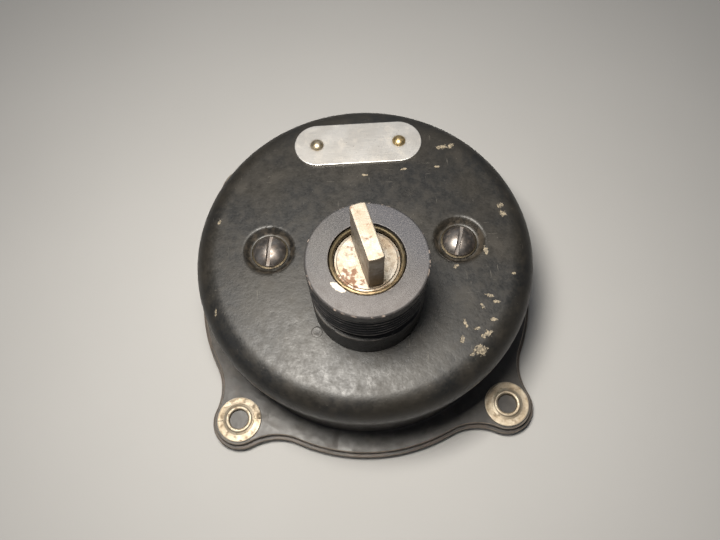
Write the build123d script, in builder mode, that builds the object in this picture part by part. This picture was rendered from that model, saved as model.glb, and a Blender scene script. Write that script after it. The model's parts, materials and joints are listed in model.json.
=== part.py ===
from build123d import *
import math
import os

# Variable tuning capacitor in a round can, with an off-centre threaded neck and a tang drive.
# Millimetres, +Z up. The origin is the centre of the plane that the four eyelets rest on.
# The shaft stands towards -Y of the can's centre, and the identity plate lies towards +Y.

os.makedirs("parts", exist_ok=True)

# ---------------------------------------------------------------- driving dimensions
case_radius = 36.5           # outside of the cover
case_height = 29.1           # resting plane to the cover's flat top
shoulder_radius = 5.2        # rounded shoulder of the cover
skirt_depth = 6.7            # cover's top to its lower lip
cover_thickness = 1.4
lip_chamfer = 0.3
wall_thickness = 1.8         # housing's ring wall
flange_thickness = 1.6
plate_thickness = 2.0        # insulating back plate
plate_ledge = 0.8            # back plate shows this much all round the flange
arc_margin = 4.1             # back plate's arcs stand this far outside the cover
lobe_radius = 6.4            # back plate's corner lobes
lobe_fillet = 12.0           # hollow curve from arc to lobe

washer_radius = 5.05
washer_thickness = 0.6
eyelet_hole_radius = 2.15
eyelet_tube_wall = 0.55
eyelet_rim_radius = 3.2      # rolled rim on the front
eyelet_rim_height = 0.6
eyelet_foot_radius = 4.0     # rolled rim at the back, which the object rests on
eyelet_foot_height = 0.5
eyelet_wall_gap = 3.37       # housing's wall to the washer's edge

shaft_offset = 12.4          # shaft axis, towards -Y from the can's axis
shaft_radius = 5.85
spindle_radius = 3.2         # the shaft's thin part, inside the can
shaft_recess = 0.9           # shaft's shoulder below the neck's face
tang_height = 10.7           # above the neck's face
tang_thickness = 2.8
tang_radius = 5.25           # half its length, and the radius of its round ends
rest_turn = 14.5             # tang and rotor, anticlockwise from +Y at rest, in degrees
tang_chamfer = 0.25

neck_radius = 11.1
neck_height = 20.8           # cover's top to the neck's face
neck_bore_radius = 6.9
neck_spigot_radius = 8.2
collar_height = 7.7
undercut_height = 2.6
undercut_depth = 1.1
neck_lip_height = 2.2
neck_edge_chamfer = 0.3
thread_pitch = 1.3
thread_depth = 0.7
thread_crest = 0.27          # flat on top of each ridge
thread_root = 0.13           # flat between two ridges
neck_nut_radius = 10.6
neck_nut_thickness = 2.4
spanner_slot_width = 2.0
spanner_slot_depth = 1.0
bush_flange_radius = 8.0
bush_flange_thickness = 0.5
bush_chamfer = 0.4
bush_recess = 0.15           # bush's end below the neck's face

vane_thickness = 0.7
stator_vane_count = 7
hub_radius = 4.6             # rotor spacers
stator_cutout_radius = 7.8
stator_edge_setback = 0.8
rotor_root_radius = 6.2
sweep_gap = 1.8              # rotor's edge to the housing's wall
pillar_gap = 1.7             # rotor's edge to the pillars
rod_radius = 1.4
rod_spacer_radius = 3.0
rod_spacer_gap = 0.5         # rotor's edge to the stator's spacers
rod_pillar_gap = 1.3         # stator's ears to the pillars
ear_radius = 4.0
stator_overhang = 0.9        # stator's edge beyond the rotor's
rod_nut_radius = 3.1
rod_nut_thickness = 2.0
rod_tip = 0.5                # rod beyond its nut
bearing_room = 4.35          # back plate to the lowest stator vane
drive_room = 5.75            # highest stator vane to the cover's underside

stop_pin_radius = 1.15
stop_pin_angle = 120.7       # anticlockwise from +Y, about the shaft
stop_pin_gap = 0.05
stop_sector_thickness = 1.2
stop_sector_hub_radius = 7.0
stop_sector_margin = 1.3     # sector's edge beyond the pin's axis
stop_gap = 0.3               # left between the sector and the pin at each end
rotor_travel = 180.0

pillar_radius = 3.0
dimple_radius = 5.45
dimple_floor_radius = 4.3
dimple_depth = 1.5
screw_head_radius = 3.5
screw_head_height = 2.1
screw_head_side = 0.4        # straight side below the dome
screw_shank_radius = 1.75
screw_shank_length = 9.0
screw_slot_width = 0.9
screw_slot_depth = 1.0
screw_slot_angles = (7.0, 16.6)   # clockwise from +Y, left and right
screw_washer_radius = 3.9
screw_washer_thickness = 0.4
flat_head_radius = 2.9
flat_head_depth = 1.2
flat_head_slot_depth = 0.5
pillar_screw_length = 6.0

id_plate_length = 28.8
id_plate_width = 10.6
id_plate_thickness = 0.5
id_plate_margin = 0.7        # plate's edge to where the shoulder starts
id_pin_spacing = 18.6
id_pin_head_radius = 1.5
id_pin_head_height = 0.9
id_pin_radius = 0.8
id_pin_tail = 0.8

lower_bush_flange_radius = 6.0
lower_bush_flange_thickness = 1.0
lower_bush_radius = 4.4
thrust_screw_radius = 2.4
thrust_screw_inset = 0.2
ball_radius = 1.5
ball_seat_depth = 2.45
spindle_end_height = 0.7     # spindle's end above the back plate
rotor_nut_radius = 4.6
rotor_nut_thickness = 1.45
contact_disc_radius = 7.0
contact_disc_thickness = 0.6

strap_thickness = 0.6
strap_half_width = 3.4
terminal_gap = 6.3           # middle stator foot to the stator terminal
terminal_flange_radius = 2.6
terminal_flange_height = 0.5
terminal_tube_radius = 1.5
terminal_hole_radius = 0.9
wiper_thickness = 0.4
wiper_width = 4.0
wiper_foot_length = 9.0
wiper_reach = 5.9            # middle of the wiper's tip, from the shaft axis
wiper_tip_length = 1.6

running_gap = 0.08           # shaft in its bearings, on the radius
slide_gap = 0.05             # pieces that slide together, on the radius
lid_gap = 0.1                # cover over the housing's wall
turning_gap = 0.3            # faces that pass each other

# ---------------------------------------------------------------- derived levels and places
plate_bottom = eyelet_foot_height
plate_top = plate_bottom + plate_thickness
flange_top = plate_top + flange_thickness
cover_under = case_height - cover_thickness
wall_radius = case_radius - cover_thickness - lid_gap
wall_inside = wall_radius - wall_thickness
wall_top = case_height - shoulder_radius - lid_gap
arc_radius = case_radius + arc_margin
mount_offset = (wall_radius + eyelet_wall_gap + washer_radius) / math.sqrt(2)
mount_places = GridLocations(2 * mount_offset, 2 * mount_offset, 2, 2)

neck_face = case_height + neck_height
neck_nut_bottom = cover_under - neck_nut_thickness
bush_flange_bottom = neck_nut_bottom - bush_flange_thickness
shaft_shoulder = neck_face - shaft_recess
sector_top = bush_flange_bottom - turning_gap
sector_bottom = sector_top - stop_sector_thickness

rotor_radius = wall_inside - shaft_offset - sweep_gap
pillar_circle = rotor_radius + pillar_gap + pillar_radius
pillar_x = math.sqrt(pillar_circle ** 2 - shaft_offset ** 2)
rod_circle = rotor_radius + rod_spacer_gap + rod_spacer_radius
rod_to_pillar = ear_radius + rod_pillar_gap + pillar_radius
rod_turn_side = rod_circle ** 2 + pillar_circle ** 2 - rod_to_pillar ** 2
rod_turn = math.acos(rod_turn_side / (2 * rod_circle * pillar_circle))
rod_angle_step = math.degrees(math.acos(shaft_offset / pillar_circle) - rod_turn)
stator_radius = rotor_radius + stator_overhang
terminal_y = rod_circle - shaft_offset + rod_spacer_radius + terminal_gap + terminal_flange_radius
stack_bottom = plate_top + bearing_room
stack_top = cover_under - drive_room
vane_pitch = (stack_top - stack_bottom - vane_thickness) / (stator_vane_count - 1)
rotor_vane_count = stator_vane_count - 1
stator_levels = [stack_bottom + vane_pitch * i for i in range(stator_vane_count)]
rotor_levels = [stack_bottom + vane_pitch * (i + 0.5) for i in range(rotor_vane_count)]
contact_disc_bottom = rotor_levels[0] - contact_disc_thickness
rotor_nut_bottom = contact_disc_bottom - rotor_nut_thickness
lower_bush_top = rotor_nut_bottom - turning_gap
spindle_end = plate_top + spindle_end_height
ball_seat_top = spindle_end + ball_seat_depth
ball_centre = ball_seat_top - slide_gap - ball_radius
thrust_screw_top = ball_centre - ball_radius

dimple_top = case_height - dimple_depth
pillar_top = dimple_top - cover_thickness
screw_seat = dimple_top + screw_washer_thickness
id_plate_y = case_radius - shoulder_radius - id_plate_margin - id_plate_width / 2
stop_pin_circle = neck_radius + stop_pin_radius + stop_pin_gap
stop_sector_radius = stop_pin_circle + stop_sector_margin

shaft_axis = Axis((0, -shaft_offset, 0), (0, 0, 1))
shaft_section = Plane((0, -shaft_offset, 0), x_dir=(1, 0, 0), z_dir=(0, -1, 0))


def section_at(x, y):
    """Upright plane through (x, y): its x is the radius and its y is the height."""
    return Plane((x, y, 0), x_dir=(1, 0, 0), z_dir=(0, -1, 0))


def axis_at(x, y):
    """Vertical axis through (x, y)."""
    return Axis((x, y, 0), (0, 0, 1))


def about_shaft(radius, angle):
    """Point at a radius from the shaft axis, at an angle anticlockwise from +Y."""
    turn = math.radians(angle)
    return (-radius * math.sin(turn), -shaft_offset + radius * math.cos(turn))


def polar(radius, angle):
    """Point at a radius and angle from the can's axis, in degrees from +X."""
    return (radius * math.cos(math.radians(angle)), radius * math.sin(math.radians(angle)))


def midway(centre, radius, start, end):
    """Middle point of the short arc from start to end about a centre."""
    direction = (start - centre).normalized() + (end - centre).normalized()
    return centre + direction.normalized() * radius


def dome_radius(base_radius, rise):
    """Radius of the ball whose cap has this base and this rise."""
    return (base_radius ** 2 + rise ** 2) / (2 * rise)


def lobed_outline(inset):
    """Arcs about the can joined by hollow fillets to four corner lobes, all moved in by inset."""
    arc = arc_radius - inset
    lobe = lobe_radius - inset
    hollow = lobe_fillet + inset
    lobe_distance = mount_offset * math.sqrt(2)
    reach = arc + hollow
    side = lobe + hollow
    cos_arc = (lobe_distance ** 2 + reach ** 2 - side ** 2) / (2 * lobe_distance * reach)
    swing = math.degrees(math.acos(cos_arc))
    for corner in (45, 135, 225, 315):
        centre = Vector(*polar(lobe_distance, corner))
        before = Vector(*polar(reach, corner - swing))
        after = Vector(*polar(reach, corner + swing))
        arc_end = Vector(*polar(arc, corner - swing))
        arc_start = Vector(*polar(arc, corner + swing))
        lobe_start = centre + (before - centre).normalized() * lobe
        lobe_end = centre + (after - centre).normalized() * lobe
        ThreePointArc(arc_end, midway(before, hollow, arc_end, lobe_start), lobe_start)
        ThreePointArc(lobe_start, Vector(*polar(lobe_distance + lobe, corner)), lobe_end)
        ThreePointArc(lobe_end, midway(after, hollow, lobe_end, arc_start), arc_start)
        next_start = Vector(*polar(arc, corner + 90 - swing))
        ThreePointArc(arc_start, Vector(*polar(arc, corner + 45)), next_start)


pillar_places = [(-pillar_x, 0), (pillar_x, 0)]
rod_places = [about_shaft(rod_circle, step * rod_angle_step) for step in (-1, 0, 1)]
id_pin_places = [(-id_pin_spacing / 2, id_plate_y), (id_pin_spacing / 2, id_plate_y)]
wiper_place = about_shaft(wiper_reach + wiper_foot_length, 180)

# ---------------------------------------------------------------- housing and back plate
with BuildPart() as back_plate:
    with BuildSketch(Plane.XY.offset(plate_bottom)):
        with BuildLine():
            lobed_outline(0)
        make_face()
        with mount_places:
            Circle(eyelet_hole_radius + eyelet_tube_wall + slide_gap, mode=Mode.SUBTRACT)
        with Locations(pillar_places):
            Circle(screw_shank_radius + slide_gap, mode=Mode.SUBTRACT)
        with Locations(rod_places):
            Circle(rod_radius + slide_gap, mode=Mode.SUBTRACT)
        with Locations((0, -shaft_offset)):
            Circle(lower_bush_radius + slide_gap, mode=Mode.SUBTRACT)
        with Locations((0, terminal_y), wiper_place):
            Circle(terminal_tube_radius + slide_gap, mode=Mode.SUBTRACT)
    extrude(amount=plate_thickness)
    for place in pillar_places + rod_places:
        shank = screw_shank_radius if place in pillar_places else rod_radius
        with BuildSketch(section_at(*place)):
            with BuildLine():
                Polyline(
                    (0, plate_bottom),
                    (flat_head_radius + slide_gap, plate_bottom),
                    (shank + slide_gap, plate_bottom + flat_head_depth),
                    (0, plate_bottom + flat_head_depth),
                    close=True,
                )
            make_face()
        revolve(axis=axis_at(*place), mode=Mode.SUBTRACT)
back_plate.part.label = "back_plate"
export_step(back_plate.part, "parts/back_plate.step")

with BuildPart() as housing:
    with BuildSketch(Plane.XY.offset(plate_top)):
        with BuildLine():
            lobed_outline(plate_ledge)
        make_face()
        Circle(wall_inside, mode=Mode.SUBTRACT)
        with mount_places:
            Circle(eyelet_hole_radius + eyelet_tube_wall + slide_gap, mode=Mode.SUBTRACT)
    extrude(amount=flange_thickness)
    with BuildSketch(Plane.XY.offset(flange_top)):
        Circle(wall_radius)
        Circle(wall_inside, mode=Mode.SUBTRACT)
    extrude(amount=wall_top - flange_top)
housing.part.label = "housing"
export_step(housing.part, "parts/housing.step")

# ---------------------------------------------------------------- cover, with its two pressed dimples
with BuildPart() as cover:
    shoulder_inner = shoulder_radius - cover_thickness
    shoulder_start = case_radius - shoulder_radius
    with BuildSketch(Plane.XZ):
        with BuildLine():
            Line((0, case_height), (shoulder_start, case_height))
            RadiusArc(
                (shoulder_start, case_height),
                (case_radius, case_height - shoulder_radius),
                shoulder_radius,
            )
            Polyline(
                (case_radius, case_height - shoulder_radius),
                (case_radius, case_height - skirt_depth + lip_chamfer),
                (case_radius - lip_chamfer, case_height - skirt_depth),
                (case_radius - cover_thickness, case_height - skirt_depth),
                (case_radius - cover_thickness, cover_under - shoulder_inner),
            )
            RadiusArc(
                (case_radius - cover_thickness, cover_under - shoulder_inner),
                (shoulder_start, cover_under),
                -shoulder_inner,
            )
            Polyline((shoulder_start, cover_under), (0, cover_under), (0, case_height))
        make_face()
    revolve(axis=Axis.Z)
    for place in pillar_places:
        with BuildSketch(section_at(*place)):
            with BuildLine():
                Polyline(
                    (0, cover_under),
                    (dimple_radius, cover_under),
                    (dimple_floor_radius + cover_thickness / 2, pillar_top),
                    (0, pillar_top),
                    close=True,
                )
            make_face()
        revolve(axis=axis_at(*place))
        with BuildSketch(section_at(*place)):
            with BuildLine():
                Polyline(
                    (0, case_height),
                    (dimple_radius, case_height),
                    (dimple_floor_radius, dimple_top),
                    (screw_shank_radius + slide_gap, dimple_top),
                    (screw_shank_radius + slide_gap, pillar_top),
                    (0, pillar_top),
                    close=True,
                )
            make_face()
        revolve(axis=axis_at(*place), mode=Mode.SUBTRACT)
    with BuildSketch(Plane.XY.offset(cover_under)):
        with Locations((0, -shaft_offset)):
            Circle(neck_spigot_radius + slide_gap)
        with Locations(id_pin_places):
            Circle(id_pin_radius + slide_gap)
        with Locations(about_shaft(stop_pin_circle, stop_pin_angle)):
            Circle(stop_pin_radius + slide_gap)
    extrude(amount=cover_thickness, mode=Mode.SUBTRACT)
cover.part.label = "cover"
export_step(cover.part, "parts/cover.step")

# ---------------------------------------------------------------- mounting eyelets and washers
with BuildPart() as mounting_washers:
    with BuildSketch(Plane.XY.offset(flange_top)):
        with mount_places:
            Circle(washer_radius)
            Circle(eyelet_hole_radius + eyelet_tube_wall + slide_gap, mode=Mode.SUBTRACT)
    extrude(amount=washer_thickness)
mounting_washers.part.label = "mounting_washers"
export_step(mounting_washers.part, "parts/mounting_washers.step")

with BuildPart() as mounting_eyelets:
    rim_bottom = flange_top + washer_thickness
    tube_outside = eyelet_hole_radius + eyelet_tube_wall
    for place in mount_places:
        corner_x = place.position.X
        corner_y = place.position.Y
        with BuildSketch(section_at(corner_x, corner_y)):
            with BuildLine():
                Polyline(
                    (eyelet_hole_radius, 0),
                    (eyelet_foot_radius, 0),
                    (eyelet_foot_radius, eyelet_foot_height),
                    (tube_outside, eyelet_foot_height),
                    (tube_outside, rim_bottom),
                    (eyelet_rim_radius, rim_bottom),
                    (eyelet_rim_radius, rim_bottom + eyelet_rim_height / 2),
                    (eyelet_rim_radius - eyelet_rim_height / 2, rim_bottom + eyelet_rim_height),
                    (eyelet_hole_radius, rim_bottom + eyelet_rim_height),
                    close=True,
                )
            make_face()
        revolve(axis=axis_at(corner_x, corner_y))
mounting_eyelets.part.label = "mounting_eyelets"
export_step(mounting_eyelets.part, "parts/mounting_eyelets.step")

# ---------------------------------------------------------------- cover pillars, screws and washers
with BuildPart() as cover_pillars:
    with BuildSketch(Plane.XY.offset(plate_top)):
        with Locations(pillar_places):
            Circle(pillar_radius)
            Circle(screw_shank_radius + slide_gap, mode=Mode.SUBTRACT)
    extrude(amount=pillar_top - plate_top)
cover_pillars.part.label = "cover_pillars"
export_step(cover_pillars.part, "parts/cover_pillars.step")

with BuildPart() as cover_screws:
    for place, slot_angle in zip(pillar_places, screw_slot_angles):
        with BuildSketch(section_at(*place)):
            with BuildLine():
                Polyline(
                    (screw_head_radius, screw_seat + screw_head_side),
                    (screw_head_radius, screw_seat),
                    (0, screw_seat),
                    (0, screw_seat + screw_head_height),
                )
                RadiusArc(
                    (0, screw_seat + screw_head_height),
                    (screw_head_radius, screw_seat + screw_head_side),
                    dome_radius(screw_head_radius, screw_head_height - screw_head_side),
                )
            make_face()
        revolve(axis=axis_at(*place))
        with BuildSketch(Plane.XY.offset(screw_seat)):
            with Locations(place):
                Circle(screw_shank_radius)
        extrude(amount=-screw_shank_length)
        with BuildSketch(Plane.XY.offset(screw_seat + screw_head_height - screw_slot_depth)):
            with Locations(Location(place, -slot_angle)):
                Rectangle(screw_slot_width, 2 * screw_head_radius)
        extrude(amount=screw_slot_depth, mode=Mode.SUBTRACT)
cover_screws.part.label = "cover_screws"
export_step(cover_screws.part, "parts/cover_screws.step")

with BuildPart() as cover_screw_washers:
    with BuildSketch(Plane.XY.offset(dimple_top)):
        with Locations(pillar_places):
            Circle(screw_washer_radius)
            Circle(screw_shank_radius + slide_gap, mode=Mode.SUBTRACT)
    extrude(amount=screw_washer_thickness)
cover_screw_washers.part.label = "cover_screw_washers"
export_step(cover_screw_washers.part, "parts/cover_screw_washers.step")

with BuildPart() as pillar_screws:
    for place in pillar_places:
        with BuildSketch(section_at(*place)):
            with BuildLine():
                Polyline(
                    (0, plate_bottom),
                    (flat_head_radius, plate_bottom),
                    (screw_shank_radius, plate_bottom + flat_head_depth),
                    (screw_shank_radius, plate_bottom + pillar_screw_length),
                    (0, plate_bottom + pillar_screw_length),
                    close=True,
                )
            make_face()
        revolve(axis=axis_at(*place))
        with BuildSketch(Plane.XY.offset(plate_bottom)):
            with Locations(place):
                Rectangle(2 * flat_head_radius, screw_slot_width)
        extrude(amount=flat_head_slot_depth, mode=Mode.SUBTRACT)
pillar_screws.part.label = "pillar_screws"
export_step(pillar_screws.part, "parts/pillar_screws.step")

# ---------------------------------------------------------------- identity plate and its pins
with BuildPart() as id_plate:
    with BuildSketch(Plane.XY.offset(case_height)):
        with Locations((0, id_plate_y)):
            SlotOverall(id_plate_length, id_plate_width)
        with Locations(id_pin_places):
            Circle(id_pin_radius + slide_gap, mode=Mode.SUBTRACT)
    extrude(amount=id_plate_thickness)
id_plate.part.label = "id_plate"
export_step(id_plate.part, "parts/id_plate.step")

with BuildPart() as id_plate_pins:
    pin_seat = case_height + id_plate_thickness
    for place in id_pin_places:
        with BuildSketch(section_at(*place)):
            with BuildLine():
                Polyline(
                    (id_pin_head_radius, pin_seat),
                    (id_pin_radius, pin_seat),
                    (id_pin_radius, cover_under - id_pin_tail),
                    (0, cover_under - id_pin_tail),
                    (0, pin_seat + id_pin_head_height),
                )
                RadiusArc(
                    (0, pin_seat + id_pin_head_height),
                    (id_pin_head_radius, pin_seat),
                    dome_radius(id_pin_head_radius, id_pin_head_height),
                )
            make_face()
        revolve(axis=axis_at(*place))
id_plate_pins.part.label = "id_plate_pins"
export_step(id_plate_pins.part, "parts/id_plate_pins.step")

# ---------------------------------------------------------------- threaded neck, its nut and bush
with BuildPart() as neck:
    thread_bottom = case_height + collar_height + undercut_height
    thread_top = neck_face - neck_lip_height
    thread_turns = max(1, round((thread_top - thread_bottom) / thread_pitch))
    turn_height = (thread_top - thread_bottom) / thread_turns
    undercut_radius = neck_radius - undercut_depth
    profile = [
        (neck_bore_radius, neck_nut_bottom),
        (neck_spigot_radius, neck_nut_bottom),
        (neck_spigot_radius, case_height),
        (neck_radius, case_height),
        (neck_radius, case_height + collar_height),
        (undercut_radius, case_height + collar_height),
        (undercut_radius, thread_bottom),
    ]
    for turn in range(thread_turns):
        crest = thread_bottom + turn_height * (turn + 0.5)
        profile.append((neck_radius - thread_depth, crest - (turn_height - thread_root) / 2))
        profile.append((neck_radius, crest - thread_crest / 2))
        profile.append((neck_radius, crest + thread_crest / 2))
        profile.append((neck_radius - thread_depth, crest + (turn_height - thread_root) / 2))
    profile += [
        (neck_radius - thread_depth, thread_top),
        (neck_radius, thread_top),
        (neck_radius, neck_face - neck_edge_chamfer),
        (neck_radius - neck_edge_chamfer, neck_face),
        (neck_bore_radius, neck_face),
    ]
    with BuildSketch(shaft_section):
        with BuildLine():
            Polyline(*profile, close=True)
        make_face()
    revolve(axis=shaft_axis)
neck.part.label = "neck"
export_step(neck.part, "parts/neck.step")

with BuildPart() as neck_nut:
    with BuildSketch(Plane.XY.offset(neck_nut_bottom)):
        with Locations((0, -shaft_offset)):
            Circle(neck_nut_radius)
            Circle(neck_spigot_radius + slide_gap, mode=Mode.SUBTRACT)
    extrude(amount=neck_nut_thickness)
    with BuildSketch(Plane.XY.offset(neck_nut_bottom)):
        with Locations((0, -shaft_offset)):
            Rectangle(2 * neck_nut_radius, spanner_slot_width)
    extrude(amount=spanner_slot_depth, mode=Mode.SUBTRACT)
neck_nut.part.label = "neck_nut"
export_step(neck_nut.part, "parts/neck_nut.step")

with BuildPart() as neck_bush:
    bush_outside = neck_bore_radius - slide_gap / 2
    bush_inside = shaft_radius + running_gap
    bush_top = neck_face - bush_recess
    with BuildSketch(shaft_section):
        with BuildLine():
            Polyline(
                (bush_inside, bush_flange_bottom),
                (bush_flange_radius, bush_flange_bottom),
                (bush_flange_radius, neck_nut_bottom),
                (bush_outside, neck_nut_bottom),
                (bush_outside, bush_top),
                (bush_inside + bush_chamfer, bush_top),
                (bush_inside, bush_top - bush_chamfer),
                close=True,
            )
        make_face()
    revolve(axis=shaft_axis)
neck_bush.part.label = "neck_bush"
export_step(neck_bush.part, "parts/neck_bush.step")

# ---------------------------------------------------------------- stop pin, riveted flush in the cover
with BuildPart() as stop_pin:
    with BuildSketch(Plane.XY.offset(sector_bottom - turning_gap)):
        with Locations(about_shaft(stop_pin_circle, stop_pin_angle)):
            Circle(stop_pin_radius)
    extrude(amount=case_height - sector_bottom + turning_gap)
stop_pin.part.label = "stop_pin"
export_step(stop_pin.part, "parts/stop_pin.step")

# ---------------------------------------------------------------- drive shaft with its tang
with BuildPart() as drive_shaft:
    with BuildSketch(shaft_section):
        with BuildLine():
            Polyline(
                (0, ball_seat_top),
                (ball_radius + running_gap, ball_seat_top),
                (ball_radius + running_gap, spindle_end),
                (spindle_radius, spindle_end),
                (spindle_radius, sector_top),
                (shaft_radius, sector_top),
                (shaft_radius, shaft_shoulder),
                (0, shaft_shoulder),
                close=True,
            )
        make_face()
    revolve(axis=shaft_axis)
    with BuildSketch(Plane.XY.offset(shaft_shoulder)):
        with Locations(Location((0, -shaft_offset), rest_turn)):
            Circle(tang_radius)
            Rectangle(tang_thickness, 2 * tang_radius, mode=Mode.INTERSECT)
    extrude(amount=neck_face + tang_height - shaft_shoulder)
    chamfer(drive_shaft.faces().sort_by(Axis.Z)[-1].edges(), tang_chamfer)
drive_shaft.part.label = "drive_shaft"
export_step(drive_shaft.part, "parts/drive_shaft.step")

# ---------------------------------------------------------------- stop sector: its ends meet the pin
with BuildPart() as stop_sector:
    pin_half_angle = math.degrees(math.asin((stop_pin_radius + stop_gap) / stop_pin_circle))
    turn_to_open = rotor_travel - rest_turn
    sector_end = stop_pin_angle - pin_half_angle - turn_to_open
    sector_start = stop_pin_angle - 360 + pin_half_angle + rest_turn
    sector_middle = (sector_start + sector_end) / 2
    with BuildSketch(Plane.XY.offset(sector_bottom)):
        with BuildLine():
            Line((0, -shaft_offset), about_shaft(stop_sector_radius, sector_start))
            ThreePointArc(
                about_shaft(stop_sector_radius, sector_start),
                about_shaft(stop_sector_radius, sector_middle),
                about_shaft(stop_sector_radius, sector_end),
            )
            Line(about_shaft(stop_sector_radius, sector_end), (0, -shaft_offset))
        make_face()
        with Locations((0, -shaft_offset)):
            Circle(stop_sector_hub_radius)
            Circle(spindle_radius + slide_gap, mode=Mode.SUBTRACT)
    extrude(amount=stop_sector_thickness)
stop_sector.part.label = "stop_sector"
export_step(stop_sector.part, "parts/stop_sector.step")

# ---------------------------------------------------------------- rotor vanes, spacers and nut
for index, level in enumerate(rotor_levels, start=1):
    with BuildPart() as rotor_vane:
        with BuildSketch(Plane.XY.offset(level)):
            with Locations(Location((0, -shaft_offset), rest_turn)):
                Circle(rotor_radius)
                with Locations((0, -rotor_radius / 2)):
                    Rectangle(2 * rotor_radius, rotor_radius, mode=Mode.SUBTRACT)
                Circle(rotor_root_radius)
                Circle(spindle_radius + slide_gap, mode=Mode.SUBTRACT)
        extrude(amount=vane_thickness)
    rotor_vane.part.label = f"rotor_vane_{index}"
    export_step(rotor_vane.part, f"parts/rotor_vane_{index}.step")

with BuildPart() as rotor_spacers:
    for level in rotor_levels[:-1]:
        with BuildSketch(Plane.XY.offset(level + vane_thickness)):
            with Locations((0, -shaft_offset)):
                Circle(hub_radius)
                Circle(spindle_radius + slide_gap, mode=Mode.SUBTRACT)
        extrude(amount=vane_pitch - vane_thickness)
rotor_spacers.part.label = "rotor_spacers"
export_step(rotor_spacers.part, "parts/rotor_spacers.step")

with BuildPart() as rotor_top_spacer:
    top_vane = rotor_levels[-1] + vane_thickness
    with BuildSketch(Plane.XY.offset(top_vane)):
        with Locations((0, -shaft_offset)):
            Circle(hub_radius)
            Circle(spindle_radius + slide_gap, mode=Mode.SUBTRACT)
    extrude(amount=sector_bottom - top_vane)
rotor_top_spacer.part.label = "rotor_top_spacer"
export_step(rotor_top_spacer.part, "parts/rotor_top_spacer.step")

with BuildPart() as contact_disc:
    with BuildSketch(Plane.XY.offset(contact_disc_bottom)):
        with Locations((0, -shaft_offset)):
            Circle(contact_disc_radius)
            Circle(spindle_radius + slide_gap, mode=Mode.SUBTRACT)
    extrude(amount=contact_disc_thickness)
contact_disc.part.label = "contact_disc"
export_step(contact_disc.part, "parts/contact_disc.step")

with BuildPart() as rotor_nut:
    with BuildSketch(Plane.XY.offset(rotor_nut_bottom)):
        with Locations((0, -shaft_offset)):
            RegularPolygon(rotor_nut_radius, 6)
            Circle(spindle_radius + slide_gap, mode=Mode.SUBTRACT)
    extrude(amount=rotor_nut_thickness)
rotor_nut.part.label = "rotor_nut"
export_step(rotor_nut.part, "parts/rotor_nut.step")

# ---------------------------------------------------------------- lower bearing
with BuildPart() as lower_bush:
    bore_step = thrust_screw_top
    bush_bore = spindle_radius + running_gap
    screw_hole = thrust_screw_radius + slide_gap
    with BuildSketch(shaft_section):
        with BuildLine():
            Polyline(
                (screw_hole, plate_bottom),
                (lower_bush_radius, plate_bottom),
                (lower_bush_radius, plate_top),
                (lower_bush_flange_radius, plate_top),
                (lower_bush_flange_radius, plate_top + lower_bush_flange_thickness),
                (lower_bush_radius, plate_top + lower_bush_flange_thickness),
                (lower_bush_radius, lower_bush_top),
                (bush_bore, lower_bush_top),
                (bush_bore, bore_step),
                (screw_hole, bore_step),
                close=True,
            )
        make_face()
    revolve(axis=shaft_axis)
lower_bush.part.label = "lower_bush"
export_step(lower_bush.part, "parts/lower_bush.step")

with BuildPart() as thrust_screw:
    screw_bottom = plate_bottom + thrust_screw_inset
    with BuildSketch(Plane.XY.offset(screw_bottom)):
        with Locations((0, -shaft_offset)):
            Circle(thrust_screw_radius)
    extrude(amount=thrust_screw_top - screw_bottom)
    with BuildSketch(Plane.XY.offset(screw_bottom)):
        with Locations((0, -shaft_offset)):
            Rectangle(2 * thrust_screw_radius, screw_slot_width)
    extrude(amount=flat_head_slot_depth, mode=Mode.SUBTRACT)
thrust_screw.part.label = "thrust_screw"
export_step(thrust_screw.part, "parts/thrust_screw.step")

with BuildPart() as thrust_ball:
    with BuildSketch(shaft_section):
        with Locations((0, ball_centre)):
            Circle(ball_radius)
            with Locations((-ball_radius / 2, 0)):
                Rectangle(ball_radius, 2 * ball_radius, mode=Mode.SUBTRACT)
    revolve(axis=shaft_axis)
thrust_ball.part.label = "thrust_ball"
export_step(thrust_ball.part, "parts/thrust_ball.step")

# ---------------------------------------------------------------- stator
feet_bottom = plate_top + strap_thickness
rod_top = stack_top + rod_nut_thickness + rod_tip

with BuildPart() as stator_screws:
    for rod in rod_places:
        with BuildSketch(section_at(*rod)):
            with BuildLine():
                Polyline(
                    (0, plate_bottom),
                    (flat_head_radius, plate_bottom),
                    (rod_radius, plate_bottom + flat_head_depth),
                    (rod_radius, rod_top),
                    (0, rod_top),
                    close=True,
                )
            make_face()
        revolve(axis=axis_at(*rod))
        with BuildSketch(Plane.XY.offset(plate_bottom)):
            with Locations(rod):
                Rectangle(2 * flat_head_radius, screw_slot_width)
        extrude(amount=flat_head_slot_depth, mode=Mode.SUBTRACT)
stator_screws.part.label = "stator_screws"
export_step(stator_screws.part, "parts/stator_screws.step")

with BuildPart() as stator_strap:
    with BuildSketch(Plane.XY.offset(plate_top)):
        with BuildLine():
            Polyline(*rod_places)
        trace(line_width=2 * strap_half_width)
        with Locations(rod_places):
            Circle(strap_half_width)
        with BuildLine():
            Line(rod_places[1], (0, terminal_y))
        trace(line_width=2 * strap_half_width)
        with Locations((0, terminal_y)):
            Circle(strap_half_width)
            Circle(terminal_tube_radius + slide_gap, mode=Mode.SUBTRACT)
        with Locations(rod_places):
            Circle(rod_radius + slide_gap, mode=Mode.SUBTRACT)
    extrude(amount=strap_thickness)
stator_strap.part.label = "stator_strap"
export_step(stator_strap.part, "parts/stator_strap.step")

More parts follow.
